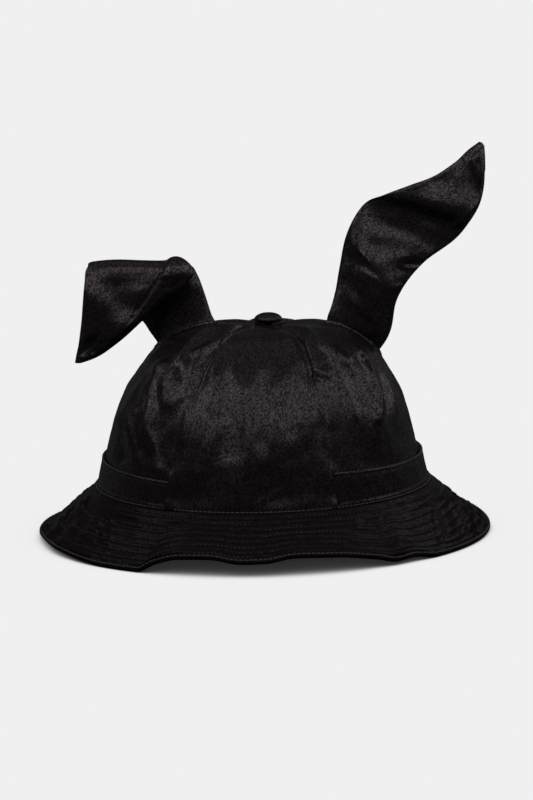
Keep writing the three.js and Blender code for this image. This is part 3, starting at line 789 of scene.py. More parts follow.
    def relief(self, turn: np.ndarray, along: np.ndarray, banded: bool) -> np.ndarray:
        """Returns how far the surface stands out: gores puff, seams sink, folds rise and ears lift.

        Args:
            turn: Degrees from the front, towards +X.
            along: Shares of the outline's length, from the brim seam to the top.
            banded: Whether the band lies there, so that the surface is flat under it.

        Returns:
            The height in metres.
        """
        relief = self.puff * np.cos(np.radians(turn) * len(SEAMS) / 2) ** 2 * np.sin(math.pi * along)
        for seam in SEAMS:
            away = self.round_crown(self.seam_turn(seam, along), turn, along)
            sunk = 1 - ramp(seam.top - self.seam_fade, seam.top, along)
            relief -= self.seam_sink * bell(away / self.seam_reach) * sunk
        for fold in CROWN_FOLDS:
            relief += self.fold_height(fold, turn, along)
        for side, start in self.ear_from:
            x = self.radius(along) - start - self.ear_base_width / 2
            y = self.round_crown(side, turn, along)
            relief += self.ear_lift * bell(np.hypot(x, y) / self.ear_lift_reach)
        flat_to = self.band_top(turn) if banded else 0.0
        return relief * ramp(0.0, self.fold_margin / self.length, along - flat_to)

    def point(
        self, turn: np.ndarray, along: np.ndarray, lift: np.ndarray | float = 0.0, banded: bool = True
    ) -> np.ndarray:
        """Returns points on the crown, lifted off its surface.

        Args:
            turn: Degrees from the front, towards +X.
            along: Shares of the outline's length, from the brim seam to the top.
            lift: How far off the surface.
            banded: Whether the band lies there, so that the surface is flat under it.

        Returns:
            Points in metres.
        """
        height = self.relief(turn, along, banded) + lift
        return self.plain(turn, along) + self.normal(turn, along) * height[..., None]


CROWN = CrownForm()


class Stitches:
    """Rows of thread stitches, each a copy of one bowed stitch, joined in one mesh."""

    def __init__(
        self, name: str, length: float = 0.0022, pitch: float = 0.003, thread: float = 0.00034
    ) -> None:
        """Takes the stitch's sizes: its length, the pitch of a row and the thread's width.

        Args:
            name: The name of the joined piece.
            length: How long a stitch is.
            pitch: How far apart stitches start.
            thread: The thread's width.
        """
        self.name = name
        self.length = length
        self.pitch = pitch
        self.thread = thread
        self.places: list[np.ndarray] = []
        self.ways: list[np.ndarray] = []
        self.ups: list[np.ndarray] = []

    def sew(self, line: np.ndarray, ups: np.ndarray) -> None:
        """Sews a row along a line.

        Args:
            line: Points along the row, on the cloth.
            ups: The way off the cloth at each point.
        """
        steps = np.linalg.norm(np.diff(line, axis=0), axis=1)
        lengths = np.concatenate([[0.0], np.cumsum(steps)])
        count = int(lengths[-1] / self.pitch)
        middles = (np.arange(count) + 0.5) * lengths[-1] / count
        here = self.along(line, lengths, middles)
        ahead = self.along(line, lengths, middles + self.length / 2)
        behind = self.along(line, lengths, middles - self.length / 2)
        self.places.append(here)
        self.ways.append(unit(ahead - behind))
        self.ups.append(unit(self.along(ups, lengths, middles)))

    @staticmethod
    def along(line: np.ndarray, lengths: np.ndarray, places: np.ndarray) -> np.ndarray:
        """Returns points of a line at distances along it."""
        return np.stack([np.interp(places, lengths, line[:, k]) for k in range(3)], axis=1)

    def one_stitch(self) -> tuple[np.ndarray, list[list[int]]]:
        """Models one stitch along X, bowed up in the middle, and returns its points and faces.

        Returns:
            The stitch's points and its faces.
        """
        deselect_all()
        bpy.ops.mesh.primitive_uv_sphere_add(segments=6, ring_count=5, radius=0.5)
        ball = bpy.context.active_object
        points = read_points(ball)[:, [2, 0, 1]]
        faces = [list(face.vertices) for face in ball.data.polygons]
        bpy.data.objects.remove(ball, do_unlink=True)
        points *= [self.length, self.thread, self.thread]
        points[:, 2] += self.thread * (0.35 - 2.4 * (points[:, 0] / self.length) ** 2)
        return points, faces

    def make(self, slot: Slot, material: bpy.types.Material) -> bpy.types.Object:
        """Copies the stitch along every row and returns the joined piece.

        Args:
            slot: Not used.
            material: The finish.

        Returns:
            The finished piece.
        """
        points, faces = self.one_stitch()
        place = np.concatenate(self.places)
        way = np.concatenate(self.ways)
        up = np.concatenate(self.ups)
        side = unit(np.cross(up, way))
        up = np.cross(way, side)
        axes = np.stack([way, side, up], axis=1)
        copies = place[:, None, :] + np.einsum("pk,nkc->npc", points, axes)
        starts = np.arange(len(place)) * len(points)
        joined = [[corner + int(start) for corner in face] for start in starts for face in faces]
        mesh = bpy.data.meshes.new(self.name)
        mesh.from_pydata(copies.reshape(-1, 3).tolist(), [], joined)
        piece = bpy.data.objects.new(self.name, mesh)
        bpy.context.scene.collection.objects.link(piece)
        return finish_piece(piece, material)


@dataclass
class Gore:
    """One gore of the crown, with the welts, stitch lines and puckers of its seams."""

    name: str
    left: Seam
    right: Seam
    seed: int
    columns: int
    rows: int
    banded: bool = True
    shank_radius: float = 0.0028
    overlap: float = 0.0003
    tuck: float = 0.0006
    edge_radius: float = 0.0009
    smooth_edge: float = 0.00022
    smooth_below: float = 0.42
    band_level: float = 0.00125
    welt_reach: float = 0.0022
    welt_rise: float = 0.00035
    stitch_sink: float = 0.00022
    pucker_rise: float = 0.00028
    pucker_reach: float = 0.009
    wave_rise: float = 0.0005
    ripple_rise: float = 0.00013
    hem_flare: float = 0.0011
    hem_reach: float = 0.0055
    lip_rise: float = 0.0016
    lip_width: float = 0.0008
    sewn_from: float = 0.13
    wave_width: float = 0.0115
    wave_length: float = 0.027
    small_width: float = 0.0065
    small_length: float = 0.015
    small_share: float = 0.45
    ripple_width: float = 0.0032
    ripple_length: float = 0.0095
    crowd_across: float = 0.8
    crowd_up: float = 0.35

    def __post_init__(self) -> None:
        """Draws the gore's own waves."""
        self.waves = SoftWaves(self.seed)
        self.top = float(CROWN.find_along(self.shank_radius))

    def frame_turn(self, across: np.ndarray, along: np.ndarray) -> np.ndarray:
        """Returns the turn at a share of the way between the gore's two seams."""
        start = CROWN.seam_turn(self.left, along)
        return start + across * np.mod(CROWN.seam_turn(self.right, along) - start, FULL_TURN)

    def ear_lip(self, seam: Seam, away: np.ndarray, along: np.ndarray) -> np.ndarray:
        """Returns the raised lip where an ear is sewn into a side seam.

        Args:
            seam: The seam.
            away: Distances from the seam.
            along: Shares of the outline's length, from the brim seam to the top.

        Returns:
            The lip's height in metres.
        """
        lip = np.zeros(away.shape)
        for side, start in CROWN.ear_from:
            if seam.turn == side:
                share = (CROWN.radius(along) - start) / CROWN.ear_base_width
                beside = np.clip(2 * share - 1, -1, 1)
                ear_half = 0.0008 + 0.0017 * np.sqrt(1 - beside**2)
                beyond = np.maximum(np.abs(share - 0.5) - 0.5, 0.0) * CROWN.ear_base_width
                lip += bell((away - ear_half) / self.lip_width) * bell(beyond / 0.002)
        return self.lip_rise * lip

    def seam_detail(self, seam: Seam, turn: np.ndarray, along: np.ndarray) -> np.ndarray:
        """Returns the relief beside one seam: its welt, stitch line, puckers and tucked-in edge.

        Args:
            seam: The seam.
            turn: Degrees from the front, towards +X.
            along: Shares of the outline's length, from the brim seam to the top.

        Returns:
            The relief in metres.
        """
        side = 1 if seam is self.left else -1
        inward = side * CROWN.round_crown(CROWN.seam_turn(seam, along), turn, along)
        away = np.abs(inward)
        sewn = 1 - ramp(seam.top - 0.05, seam.top, along)
        in_front = abs(seam.turn) < FRONT_TURN
        crisp = np.ones(along.shape)
        if in_front:
            crisp = ramp(self.smooth_below - 0.06, self.smooth_below + 0.06, along)
        height = along * CROWN.length
        pucker = self.waves.at(height / 0.0042 + 17 * seam.turn, away / 0.011)
        relief = self.pucker_rise * (0.4 + 0.6 * crisp) * pucker * bell((away - 0.004) / self.pucker_reach)
        relief += sewn * crisp * self.welt_rise * bell((away - self.welt_reach / 2) / (self.welt_reach / 2))
        relief -= sewn * crisp * self.stitch_sink * bell((away - self.welt_reach) / 0.0006)
        relief += 0.9 * (1 - crisp) * CROWN.seam_sink * bell(away / CROWN.seam_reach)
        radius = self.smooth_edge + (self.edge_radius - self.smooth_edge) * crisp
        relief -= radius * round_edge(inward / radius, 1.0) + self.tuck * ramp(0.0, self.overlap, -inward)
        if in_front and not self.banded:
            beside = bell(away / 0.006) * (1 - ramp(-0.03, 0.1, along - CROWN.band_top(turn)))
            relief += self.band_level * beside
        return relief + self.ear_lip(seam, away, along)

    def detail(self, turn: np.ndarray, along: np.ndarray) -> np.ndarray:
        """Returns the fine relief of the gore: its seams, creases, waves and hem.

        Args:
            turn: Degrees from the front, towards +X.
            along: Shares of the outline's length, from the brim seam to the top.

        Returns:
            The relief in metres.
        """
        height = along * CROWN.length
        middle = self.frame_turn(np.full(along.shape, 0.5), along)
        x = CROWN.round_crown(middle, turn, along)
        open_cloth = np.ones(along.shape)
        for seam in (self.left, self.right):
            away = np.abs(CROWN.round_crown(CROWN.seam_turn(seam, along), turn, along))
            open_cloth *= ramp(0.0, 0.008, away)
        waves = self.waves.at(x / self.wave_width, height / self.wave_length)
        small = self.waves.at(x / self.small_width + 9, height / self.small_length)
        waves += self.small_share * small
        ripples = self.waves.at(x / self.ripple_width + 31, height / self.ripple_length + 5)
        relief = open_cloth * (self.wave_rise * waves + self.ripple_rise * ripples)
        for crease in CROWN_CREASES:
            first = crease.places[0][0]
            to_first = CROWN.round_crown(turn, first, along)
            steps = [np.radians(place[0] - first) * CROWN.radius(along) for place in crease.places]
            to_x = to_first + np.stack(steps)
            to_y = np.stack([(place[1] - along) * CROWN.length for place in crease.places])
            relief += crease_height(crease, to_x, to_y)
        floor_to = CROWN.band_top(turn) if self.banded else 0.0
        relief *= ramp(-0.02, 0.05, along - floor_to)
        relief += self.seam_detail(self.left, turn, along) + self.seam_detail(self.right, turn, along)
        if not self.banded:
            gathers = (1 + 0.5 * self.waves.at(x / 0.008 + 5, height / 0.02)) * (0.3 + 0.7 * open_cloth)
            relief += self.hem_flare * gathers * bell(height / self.hem_reach)
        return relief

    def place(self, across: np.ndarray, up: np.ndarray) -> np.ndarray:
        """Returns points of the gore at shares across and up.

        Args:
            across: Shares of the way across.
            up: Shares of the way up.

        Returns:
            Points in metres.
        """
        along = crowd(up, self.crowd_up) * self.top
        beyond = np.degrees(self.overlap / CROWN.radius(along))
        start = CROWN.seam_turn(self.left, along) - beyond
        span = np.mod(CROWN.seam_turn(self.right, along) + beyond - start, FULL_TURN)
        turn = start + crowd(across, self.crowd_across) * span
        return CROWN.point(turn, along, self.detail(turn, along), self.banded)

    def cut(self, across: np.ndarray, up: np.ndarray) -> np.ndarray:
        """Returns the same points on the flat cloth.

        Args:
            across: Shares of the way across.
            up: Shares of the way up.

        Returns:
            Rows of x and y in metres.
        """
        along = crowd(up, self.crowd_up) * self.top
        width = CROWN.radius(along) * 2 * math.pi / len(SEAMS)
        return np.stack([(crowd(across, self.crowd_across) - 0.5) * width, along * CROWN.length], axis=1)

    def sew(self, stitches: Stitches) -> None:
        """Sews the rows on both sides of the gore's seams.

        Args:
            stitches: The piece that the rows are added to.
        """
        for seam, side in ((self.left, 1), (self.right, -1)):
            low = self.smooth_below if abs(seam.turn) < FRONT_TURN else self.sewn_from
            along = np.linspace(low, seam.top - 0.03, 240)
            offset = np.degrees(side * self.welt_reach / CROWN.radius(along))
            turn = CROWN.seam_turn(seam, along) + offset
            line = CROWN.point(turn, along, self.detail(turn, along), self.banded)
            stitches.sew(line, CROWN.normal(turn, along))

    def make(self, material: bpy.types.Material) -> bpy.types.Object:
        """Makes the gore and works out the area of its flat cloth.

        Args:
            material: The finish.

        Returns:
            The finished piece.
        """
        cloth = ClothPiece(f"gore_{self.name}", self.columns, self.rows)
        cloth.shape(self.place, self.cut)
        cloth.thicken(CROWN.wall)
        piece = cloth.dress(material, f"crown_{self.name}")
        levels = np.linspace(0.0, self.top, 100)
        area = float(CROWN.radius(levels).mean()) * 2 * math.pi / len(SEAMS) * CROWN.length
        return piece


@dataclass
class Band:
    """The narrow cloth band, folded in along both edges, from one front seam round to the other."""

    start: Seam = SEAMS[3]
    end: Seam = SEAMS[2]
    thickness: float = 0.001
    columns: int = 640
    rows: int = 26
    edge_radius: float = 0.0009
    ridge_rise: float = 0.0002
    ridge_width: float = 0.0007
    stitch_from_edge: float = 0.0022
    stitch_sink: float = 0.00018
    wrinkle_rise: float = 0.00016
    cloth: float = 0.00025
    crowd_across: float = 0.4
    crowd_up: float = 0.8

    def __post_init__(self) -> None:
        """Draws the band's own waves and measures how far round it goes."""
        self.waves = SoftWaves(41)
        self.span = self.end.turn + FULL_TURN - self.start.turn

    def turn_at(self, across: np.ndarray, along: np.ndarray) -> np.ndarray:
        """Returns the turn at a share of the band's length.

        Args:
            across: Shares of the way across.
            along: Shares of the outline's length, from the brim seam to the top.

        Returns:
            Degrees from the front, towards +X.
        """
        inset = math.degrees(2 * GAP / CROWN.half_width)
        first = CROWN.seam_turn(self.start, along) + inset
        last = CROWN.seam_turn(self.end, along) + FULL_TURN - inset
        return first + across * (last - first)

    def place(self, across: np.ndarray, up: np.ndarray) -> np.ndarray:
        """Returns points of the band at shares of its length and height.

        Args:
            across: Shares of the way across.
            up: Shares of the way up.

        Returns:
            Points in metres.
        """
        share, level = crowd(across, self.crowd_across), crowd(up, self.crowd_up)
        top = CROWN.band_top(self.start.turn + share * self.span)
        along = level * top
        turn = self.turn_at(share, along)
        return CROWN.point(turn, along, self.lift(share, level, top))

    def lift(self, share: np.ndarray, level: np.ndarray, top: np.ndarray) -> np.ndarray:
        """Returns how far the band stands off the crown.

        Args:
            share: Shares of the band's length.
            level: Shares of the band's height.
            top: The band's top, as a share of the outline's length.

        Returns:
            The lift in metres.
        """
        height = top * CROWN.length
        length = np.radians(self.span) * CROWN.half_width
        below, above = level * height, (1 - level) * height
        lift = GAP + self.thickness + self.cloth
        for away in (below, above):
            lift = lift + self.ridge_rise * bell((away - self.edge_radius) / self.ridge_width)
            lift = lift - self.stitch_sink * bell((away - self.stitch_from_edge) / 0.0006)
            lift = lift - 1.1 * round_edge(away, self.edge_radius)
        for away in (share * length, (1 - share) * length):
            lift = lift - round_edge(away, self.edge_radius)
        wrinkles = self.waves.at(share * length / 0.009, below / 0.012)
        wrinkles += 0.7 * self.waves.at(share * length / 0.0035 + below / 0.006, below / 0.009)
        return lift + self.wrinkle_rise * wrinkles * ramp(0, 0.003, below) * ramp(0, 0.002, above)

    def cut(self, across: np.ndarray, up: np.ndarray) -> np.ndarray:
        """Returns the same points on the flat cloth.

        Args:
            across: Shares of the way across.
            up: Shares of the way up.

        Returns:
            Rows of x and y in metres.
        """
        length = np.radians(self.span) * CROWN.half_width
        share, level = crowd(across, self.crowd_across), crowd(up, self.crowd_up)
        return np.stack([share * length, level * CROWN.band_height], axis=1)

    def sew(self, stitches: Stitches) -> None:
        """Sews a row along each edge.

        Args:
            stitches: The piece that the rows are added to.
        """
        share = np.linspace(0.004, 0.996, 1400)
        top = CROWN.band_top(self.start.turn + share * self.span)
        for offset in (self.stitch_from_edge, -self.stitch_from_edge):
            level = np.mod(offset / (top * CROWN.length), 1.0)
            along = level * top
            turn = self.turn_at(share, along)
            stitches.sew(CROWN.point(turn, along, self.lift(share, level, top)), CROWN.normal(turn, along))

    def sew_edge(self, stitches: Stitches) -> None:
        """Sews the row that closes the folded top edge.

        Args:
            stitches: The piece that the rows are added to.
        """
        share = np.linspace(0.002, 0.998, 1400)
        top = CROWN.band_top(self.start.turn + share * self.span)
        level = 1 - self.edge_radius / 3 / (top * CROWN.length)
        turn = self.turn_at(share, level * top)
        out = CROWN.normal(turn, level * top)
        line = CROWN.point(turn, level * top, self.lift(share, level, top) + 0.0001)
        stitches.sew(line, out + [0, 0, 1.0])

    def make(self, material: bpy.types.Material) -> bpy.types.Object:
        """Makes the band.

        Args:
            material: The finish.

        Returns:
            The finished piece.
        """
        cloth = ClothPiece("band_cloth", self.columns, self.rows)
        cloth.shape(self.place, self.cut)
        cloth.thicken(self.cloth)
        piece = cloth.dress(material, "band")
        return piece


@dataclass
class Brim:
    """The flared brim: two cloths over a stiffener, sewn through in rings."""

    reach: float = 0.034
    thickness: float = 0.003
    band_thickness: float = 0.001
    rings: float = 8.5
    rib_rise: float = 0.00075
    turns: int = 540
    cells_per_ring: int = 9
    edge_cells: int = 12
    under_cells: int = 34
    pucker_rise: float = 0.0002
    wrinkle_rise: float = 0.0003
    stroke_rise: float = 0.0014
    stroke_width: float = 0.14
    wave_rise: float = 0.0003
    lump_rise: float = 0.0019
    thread_sink: float = 0.0004
    rise_out: float = 0.6
    rise_up: float = 0.8
    rib_power: float = 2.6
    under_rib: float = 0.5
    pucker_length: float = 0.0048
    cross_length: float = 0.0065
    stroke_length: float = 0.0075
    stroke_gap: float = 0.011
    wave_length: float = 0.021
    lump_length: float = 0.007

    def __post_init__(self) -> None:
        """Draws the brim's own waves and lists the points of its section."""
        self.waves = SoftWaves(73)
        self.seam_out = GAP + self.band_thickness
        self.top_z = CROWN.seam_height - GAP
        top_cells = int(self.rings * self.cells_per_ring)
        self.section = [("top", k / top_cells) for k in range(top_cells + 1)]
        self.section += [("edge", (k + 1) / (self.edge_cells + 1)) for k in range(self.edge_cells)]
        self.section += [("under", 1 - k / self.under_cells) for k in range(self.under_cells + 1)]
        self.section += [("inside", 0.5)]

    def ring_relief(self, turn: np.ndarray, share: np.ndarray) -> np.ndarray:
        """Returns how far the brim's cloth stands up between its rings of stitches.

        Args:
            turn: Degrees from the front, towards +X.
            share: Shares of the way out to the edge.

        Returns:
            The relief in metres.
        """
        ring = share * self.rings
        within = np.abs(2 * np.mod(ring, 1.0) - 1)
        puff = 1 - within**self.rib_power
        x = np.radians(turn) * (CROWN.half_width + self.reach * share)
        channel = np.floor(ring) * 7.3
        puckers = self.waves.at(x / self.pucker_length + channel, channel + within)
        crosses = self.waves.at(x / self.cross_length + 3 * share, 2.2 * share + 11)
        strokes = bell(self.waves.at(x / self.stroke_length + 40, 1.9 * share + 23) / self.stroke_width)
        strokes = strokes * ramp(0.05, 0.4, self.waves.at(x / self.stroke_gap + 60, 4.5 * share + 7))
        creased = bell((turn + 64) / 20) + 0.9 * bell((turn - 78) / 22) + 0.25
        waves = self.waves.at(x / self.wave_length + 5, 1.6 * share + 3)
        crumpled = bell((turn - 82) / 22) + 0.5 * bell((turn + 66) / 20)
        lumps = self.waves.at(x / self.lump_length + 80, 4.2 * share + 50)
        lumps = lumps * crumpled * ramp(0.15, 0.4, share)
        relief = puff * (self.rib_rise + self.pucker_rise * puckers)
        relief += creased * self.wrinkle_rise * crosses * (0.35 + 0.65 * puff) * ramp(0.05, 0.3, share)
        relief += creased * self.stroke_rise * strokes * ramp(0.1, 0.35, share)
        return relief + self.wave_rise * waves * ramp(0.1, 0.4, share) + self.lump_rise * lumps

    def spot(self, turn: np.ndarray, out: np.ndarray, height: np.ndarray) -> np.ndarray:
        """Returns points at a distance outside the crown's seam line.

        Args:
            turn: Degrees from the front, towards +X.
            out: Distances outside the crown's seam line.
            height: Heights above the floor.

        Returns:
            Points in metres.
        """
        angle = np.radians(turn)
        x = (CROWN.half_width + out) * np.sin(angle)
        y = -(CROWN.half_length + out) * np.cos(angle)
        return np.stack([x, y, height], axis=-1)

    def edge(self, turn: np.ndarray) -> tuple[np.ndarray, np.ndarray]:
        """Returns how far out the edge is and how high its lowest point."""
        reach = self.reach * read_rows(BRIM_EDGE, "reach", turn, flat=True)
        return reach, CROWN.seam_height * read_rows(BRIM_EDGE, "lift", turn, flat=True)

    def top_point(self, turn: np.ndarray, share: np.ndarray, lift: np.ndarray | float = 0.0) -> np.ndarray:
        """Returns points on the upper cloth.

        Args:
            turn: Degrees from the front, towards +X.
            share: Shares of the way out.
            lift: How far off the cloth.

        Returns:
            Points in metres.
        """
        reach, bottom = self.edge(turn)
        reach = reach - self.thickness / 2
        drop = self.top_z - bottom - self.thickness
        down = read_rows(BRIM_OUTLINE, "down", share)
        rise = self.ring_relief(turn, share) * ramp(0.0, 0.03, share) * (1 - ramp(0.97, 1.0, share)) + lift
        out = self.seam_out + reach * share + self.rise_out * rise
        return self.spot(turn, out, self.top_z - drop * down + self.rise_up * rise)

    def under_point(self, turn: np.ndarray, share: np.ndarray) -> np.ndarray:
        """Returns points on the lower cloth.

        Args:
            turn: Degrees from the front, towards +X.
            share: Shares of the way out.

        Returns:
            Points in metres.
        """
        reach, bottom = self.edge(turn)
        reach = reach + self.seam_out + CROWN.wall - self.thickness / 2
        drop = self.top_z - bottom - self.thickness
        down = read_rows(BRIM_OUTLINE, "down", share)
        within = np.abs(2 * np.mod(share * self.rings, 1.0) - 1)
        inner = ramp(0.02, 0.08, share) * (1 - ramp(0.93, 0.99, share))
        sink = self.under_rib * self.rib_rise * within**self.rib_power * inner
        height = self.top_z - drop * down - self.thickness * share + self.rise_up * sink
        return self.spot(turn, reach * share - CROWN.wall + self.rise_out * sink, height)

    def edge_point(self, turn: np.ndarray, share: np.ndarray) -> np.ndarray:
        """Returns points round the rounded edge, from its top to its bottom.

        Args:
            turn: Degrees from the front, towards +X.
            share: Shares of the way round the edge.

        Returns:
            Points in metres.
        """
        reach, bottom = self.edge(turn)
        radius = self.thickness / 2
        angle = math.pi * share
        out = self.seam_out + reach - radius + radius * np.sin(angle)
        return self.spot(turn, out, bottom + radius + radius * np.cos(angle))

    def place(self, across: np.ndarray, up: np.ndarray) -> np.ndarray:
        """Returns points of the brim at shares round it and round its section.

        Args:
            across: Shares of the way across.
            up: Shares of the way up.

        Returns:
            Points in metres.
        """
        turn = across * FULL_TURN - FULL_TURN / 2
        index = np.rint(up * len(self.section)).astype(int) % len(self.section)
        kinds = np.array([kind for kind, _ in self.section])[index]
        shares = np.array([share for _, share in self.section])[index]
        points = self.spot(turn, np.full(turn.shape, -CROWN.wall / 3), np.full(turn.shape, self.top_z))
        for kind, find in (("top", self.top_point), ("edge", self.edge_point), ("under", self.under_point)):
            chosen = kinds == kind
            points[chosen] = find(turn[chosen], shares[chosen])
        return points

    def cut(self, across: np.ndarray, up: np.ndarray) -> np.ndarray:
        """Returns the same points on cloth laid flat along the brim."""
        round_length = 2 * math.pi * (CROWN.half_width + self.reach / 2)
        return np.stack([across * round_length, up * 2.4 * self.reach], axis=1)

    def sew(self, stitches: Stitches) -> None:
        """Sews the rings.

        Args:
            stitches: The piece that the rows are added to.
        """
        turn = np.linspace(-180.0, 180.0, 2400)
        for ring in range(1, int(self.rings) + 1):
            share = np.full(turn.shape, ring / self.rings)
            sunk = ramp(-0.25, 0.25, self.waves.at(turn / 9, np.full(turn.shape, 1.7 * ring)))
            line = self.top_point(turn, share, 0.0001 - self.thread_sink * sunk)
            down = self.top_point(turn, share + 0.02) - self.top_point(turn, share - 0.02)
            stitches.sew(line, np.cross(np.gradient(line, axis=0), down) * -1)

    def sew_edges(self, stitches: Stitches) -> None:
        """Sews the rows along the crown seam and along the rounded edge.

        Args:
            stitches: The piece that the rows are added to.
        """
        turn = np.linspace(-180.0, 180.0, 2400)
        ones = np.ones(turn.shape)
        out = self.spot(turn, 0.01 * ones, 0 * ones) - self.spot(turn, 0 * ones, 0 * ones)
        seam = self.spot(turn, (self.seam_out + 0.0009) * ones, (self.top_z + 0.0004) * ones)
        stitches.sew(seam, unit(out) + [0, 0, 1.0])
        stitches.sew(self.edge_point(turn, np.full(turn.shape, 0.22)), unit(out) + [0, 0, 1.0])

    def make(self, material: bpy.types.Material) -> bpy.types.Object:
        """Makes the brim.

        Args:
            material: The finish.

        Returns:
            The finished piece.
        """
        cloth = ClothPiece("brim_cloth", self.turns, len(self.section), Wrap.RING)
        cloth.shape(self.place, self.cut)
        cloth.close()
        piece = cloth.dress(material, "brim")
        return piece


@dataclass
class Ear:
    """A padded ear of two cloths sewn at the edge, from its base on the side seam to its tip."""

    name: str
    side: float
    base_from: float
    rows: Sequence[EarRow]
    front: int
    creases: Sequence[Crease]
    roll: Sequence[RollRow]
    seed: int
    corner_at: float = 0.0
    corner_trim: float = 0.0
    bulk: float = 0.0
    creased_from: float = -0.1
    length: float = 0.140
    width: float = 0.048
    thickness: float = 0.005
    edge: float = 0.0016
    roll_rise: float = 0.004
    roll_middle: float = 0.8
    roll_half: float = 0.19
    base_share: float = 0.045
    base_sink: float = 0.0006
    corner_reach: float = 0.028
    behind_share: float = 0.35
    wave_rise: float = 0.0005
    pucker_rise: float = 0.00025
    around: int = 112
    along: int = 180

    def __post_init__(self) -> None:
        """Draws the ear's own waves and finds the middle of its base."""
        self.waves = SoftWaves(self.seed)
        ends = self.base_point(np.array([-1.0, 1.0]), GAP)
        self.middle = ends.mean(axis=0)

    def base_point(self, s: np.ndarray, lift: float) -> np.ndarray:
        """Returns points of the ear's base line on the crown.

        Args:
            s: Places across the ear, -1 to 1.
            lift: How far off the cloth.

        Returns:
            Points in metres.
        """
        outward = (1 + s) / 2 if self.side > 0 else (1 - s) / 2
        along = CROWN.find_along(self.base_from + CROWN.ear_base_width * outward)
        return CROWN.point(np.full(s.shape, self.side), along, lift)

    def centre(self, at: np.ndarray) -> np.ndarray:
        """Returns the middle of the ear's sections."""
        columns = [read_rows(self.rows, name, at) for name in ("x", "y", "z")]
        return np.stack(columns, axis=-1) * self.length + self.middle

    def axes(self, at: np.ndarray) -> tuple[np.ndarray, np.ndarray]:
        """Returns the way across the ear's sections and the way out of their first face.

        Args:
            at: Shares of the ear's length.

        Returns:
            Two sets of ways of length 1.
        """
        tilt = np.radians(read_rows(self.rows, "tilt", at))
        swing = np.radians(read_rows(self.rows, "swing", at))
        level = np.cos(swing)
        across = np.stack([np.cos(tilt) * level, np.sin(swing), np.sin(tilt) * level], axis=-1)
        tangent = self.centre(np.minimum(at + 0.01, 1.0)) - self.centre(np.maximum(at - 0.01, 0.0))
        return across, unit(np.cross(across, tangent))

    def face_relief(self, s: np.ndarray, at: np.ndarray, face: np.ndarray) -> np.ndarray:
        """Returns how far a face stands out by its folds, waves and edge puckers.

        Args:
            s: Places across the ear, -1 to 1.
            at: Shares of the ear's length.
            face: 1 on the first face and -1 on the other.

        Returns:
            The relief in metres.
        """
        half = self.width * read_rows(self.rows, "wide", at) / 2
        inner = ramp(0.0, 0.3, 1 - np.abs(s))
        relief = np.zeros(s.shape)
        for crease in self.creases:
            to_x = np.stack([(place[0] - s) * half for place in crease.places])
            to_y = np.stack([(place[1] - at) * self.length for place in crease.places])
            relief += crease_height(crease, to_x, to_y)
        relief *= ramp(self.creased_from, self.creased_from + 0.06, at)
        arch = np.sqrt(np.clip(1 - ((s - self.roll_middle) / self.roll_half) ** 2, 0.0, 1.0))
        relief += arch * read_rows(self.roll, "rise", at, flat=True)
        behind = self.bulk * ramp(0.06, 0.36, at) * (1 - ramp(0.4, 0.47, at)) - self.behind_share * relief
        relief = np.where(face == self.front, relief, behind)
        x, y = s * half, at * self.length
        relief += inner * self.wave_rise * self.waves.at(x / 0.013 + 7 * face, y / 0.017)
        edge = bell((1 - np.abs(s)) * half / 0.004)
        relief += edge * self.pucker_rise * self.waves.at(y / 0.0045 + 20 * face, np.sign(s) * 3.0)
        return relief * ramp(0.0, 0.06, at) * (1 - ramp(0.93, 1.0, at))

    def place(self, around: np.ndarray, at: np.ndarray) -> np.ndarray:
        """Returns points at shares round the section and of the ear's length.

        Args:
            around: Shares of the way round the section.
            at: Shares of the ear's length.

        Returns:
            Points in metres.
        """
        angle = 2 * math.pi * around
        s, face = np.cos(angle), np.where(np.sin(angle) >= 0, 1.0, -1.0)
        bulge = np.abs(np.sin(angle)) ** 1.25
        thick = self.thickness * read_rows(self.rows, "thick", at)
        rim = np.minimum(self.edge, thick) * np.sqrt(np.abs(np.sin(angle)))
        half = (rim * (1 - bulge) + thick * bulge) / 2
        roll = self.roll_rise * read_rows(self.rows, "roll", at) * bell((s - 0.82) / 0.2)
        bow = self.width * read_rows(self.rows, "bow", at) * (1 - s * s)
        across, facing = self.axes(at)
        margin = np.abs(np.sin(angle)) ** 0.4
        out = face * (half + (roll / 2 + self.face_relief(s, at, face)) * margin) + bow - roll / 4
        wide = s * self.width * read_rows(self.rows, "wide", at) / 2
        wide = wide + self.corner_trim * bell((at - self.corner_at) / self.corner_reach) * ramp(0.6, 1.0, -s)
        spread = read_rows(self.roll, "spread", at, flat=True)
        wide = wide + spread * ramp(self.roll_middle - self.roll_half, 1.0, s)
        points = self.centre(at) + across * wide[..., None] + facing * out[..., None]
        base = self.base_point(s, -self.base_sink)
        base[..., 1] = -face * half
        risen = ramp(0.0, self.base_share, at)[..., None]
        points = base + (points - base) * risen
        tip = self.centre(np.ones(at.shape))
        return np.where((at > 0.9999)[..., None], tip, points)

    def cut(self, around: np.ndarray, at: np.ndarray) -> np.ndarray:
        """Returns the same points on the flat cloth.

        Args:
            around: Shares of the way round the section.
            at: Shares of the ear's length.

        Returns:
            Rows of x and y in metres.
        """
        s = np.cos(2 * math.pi * around)
        half = self.width * read_rows(self.rows, "wide", at) / 2
        return np.stack([s * half, at * self.length * 1.1], axis=1)

    def make(self, material: bpy.types.Material) -> bpy.types.Object:
        """Makes the ear, a thinly filled pad.

        Args:
            material: The finish.

        Returns:
            The finished piece.
        """
        cloth = ClothPiece(f"{self.name}_cloth", self.around, self.along, Wrap.TUBE)
        cloth.shape(self.place, self.cut)
        cloth.close()
        piece = cloth.dress(material, self.name)
        return piece


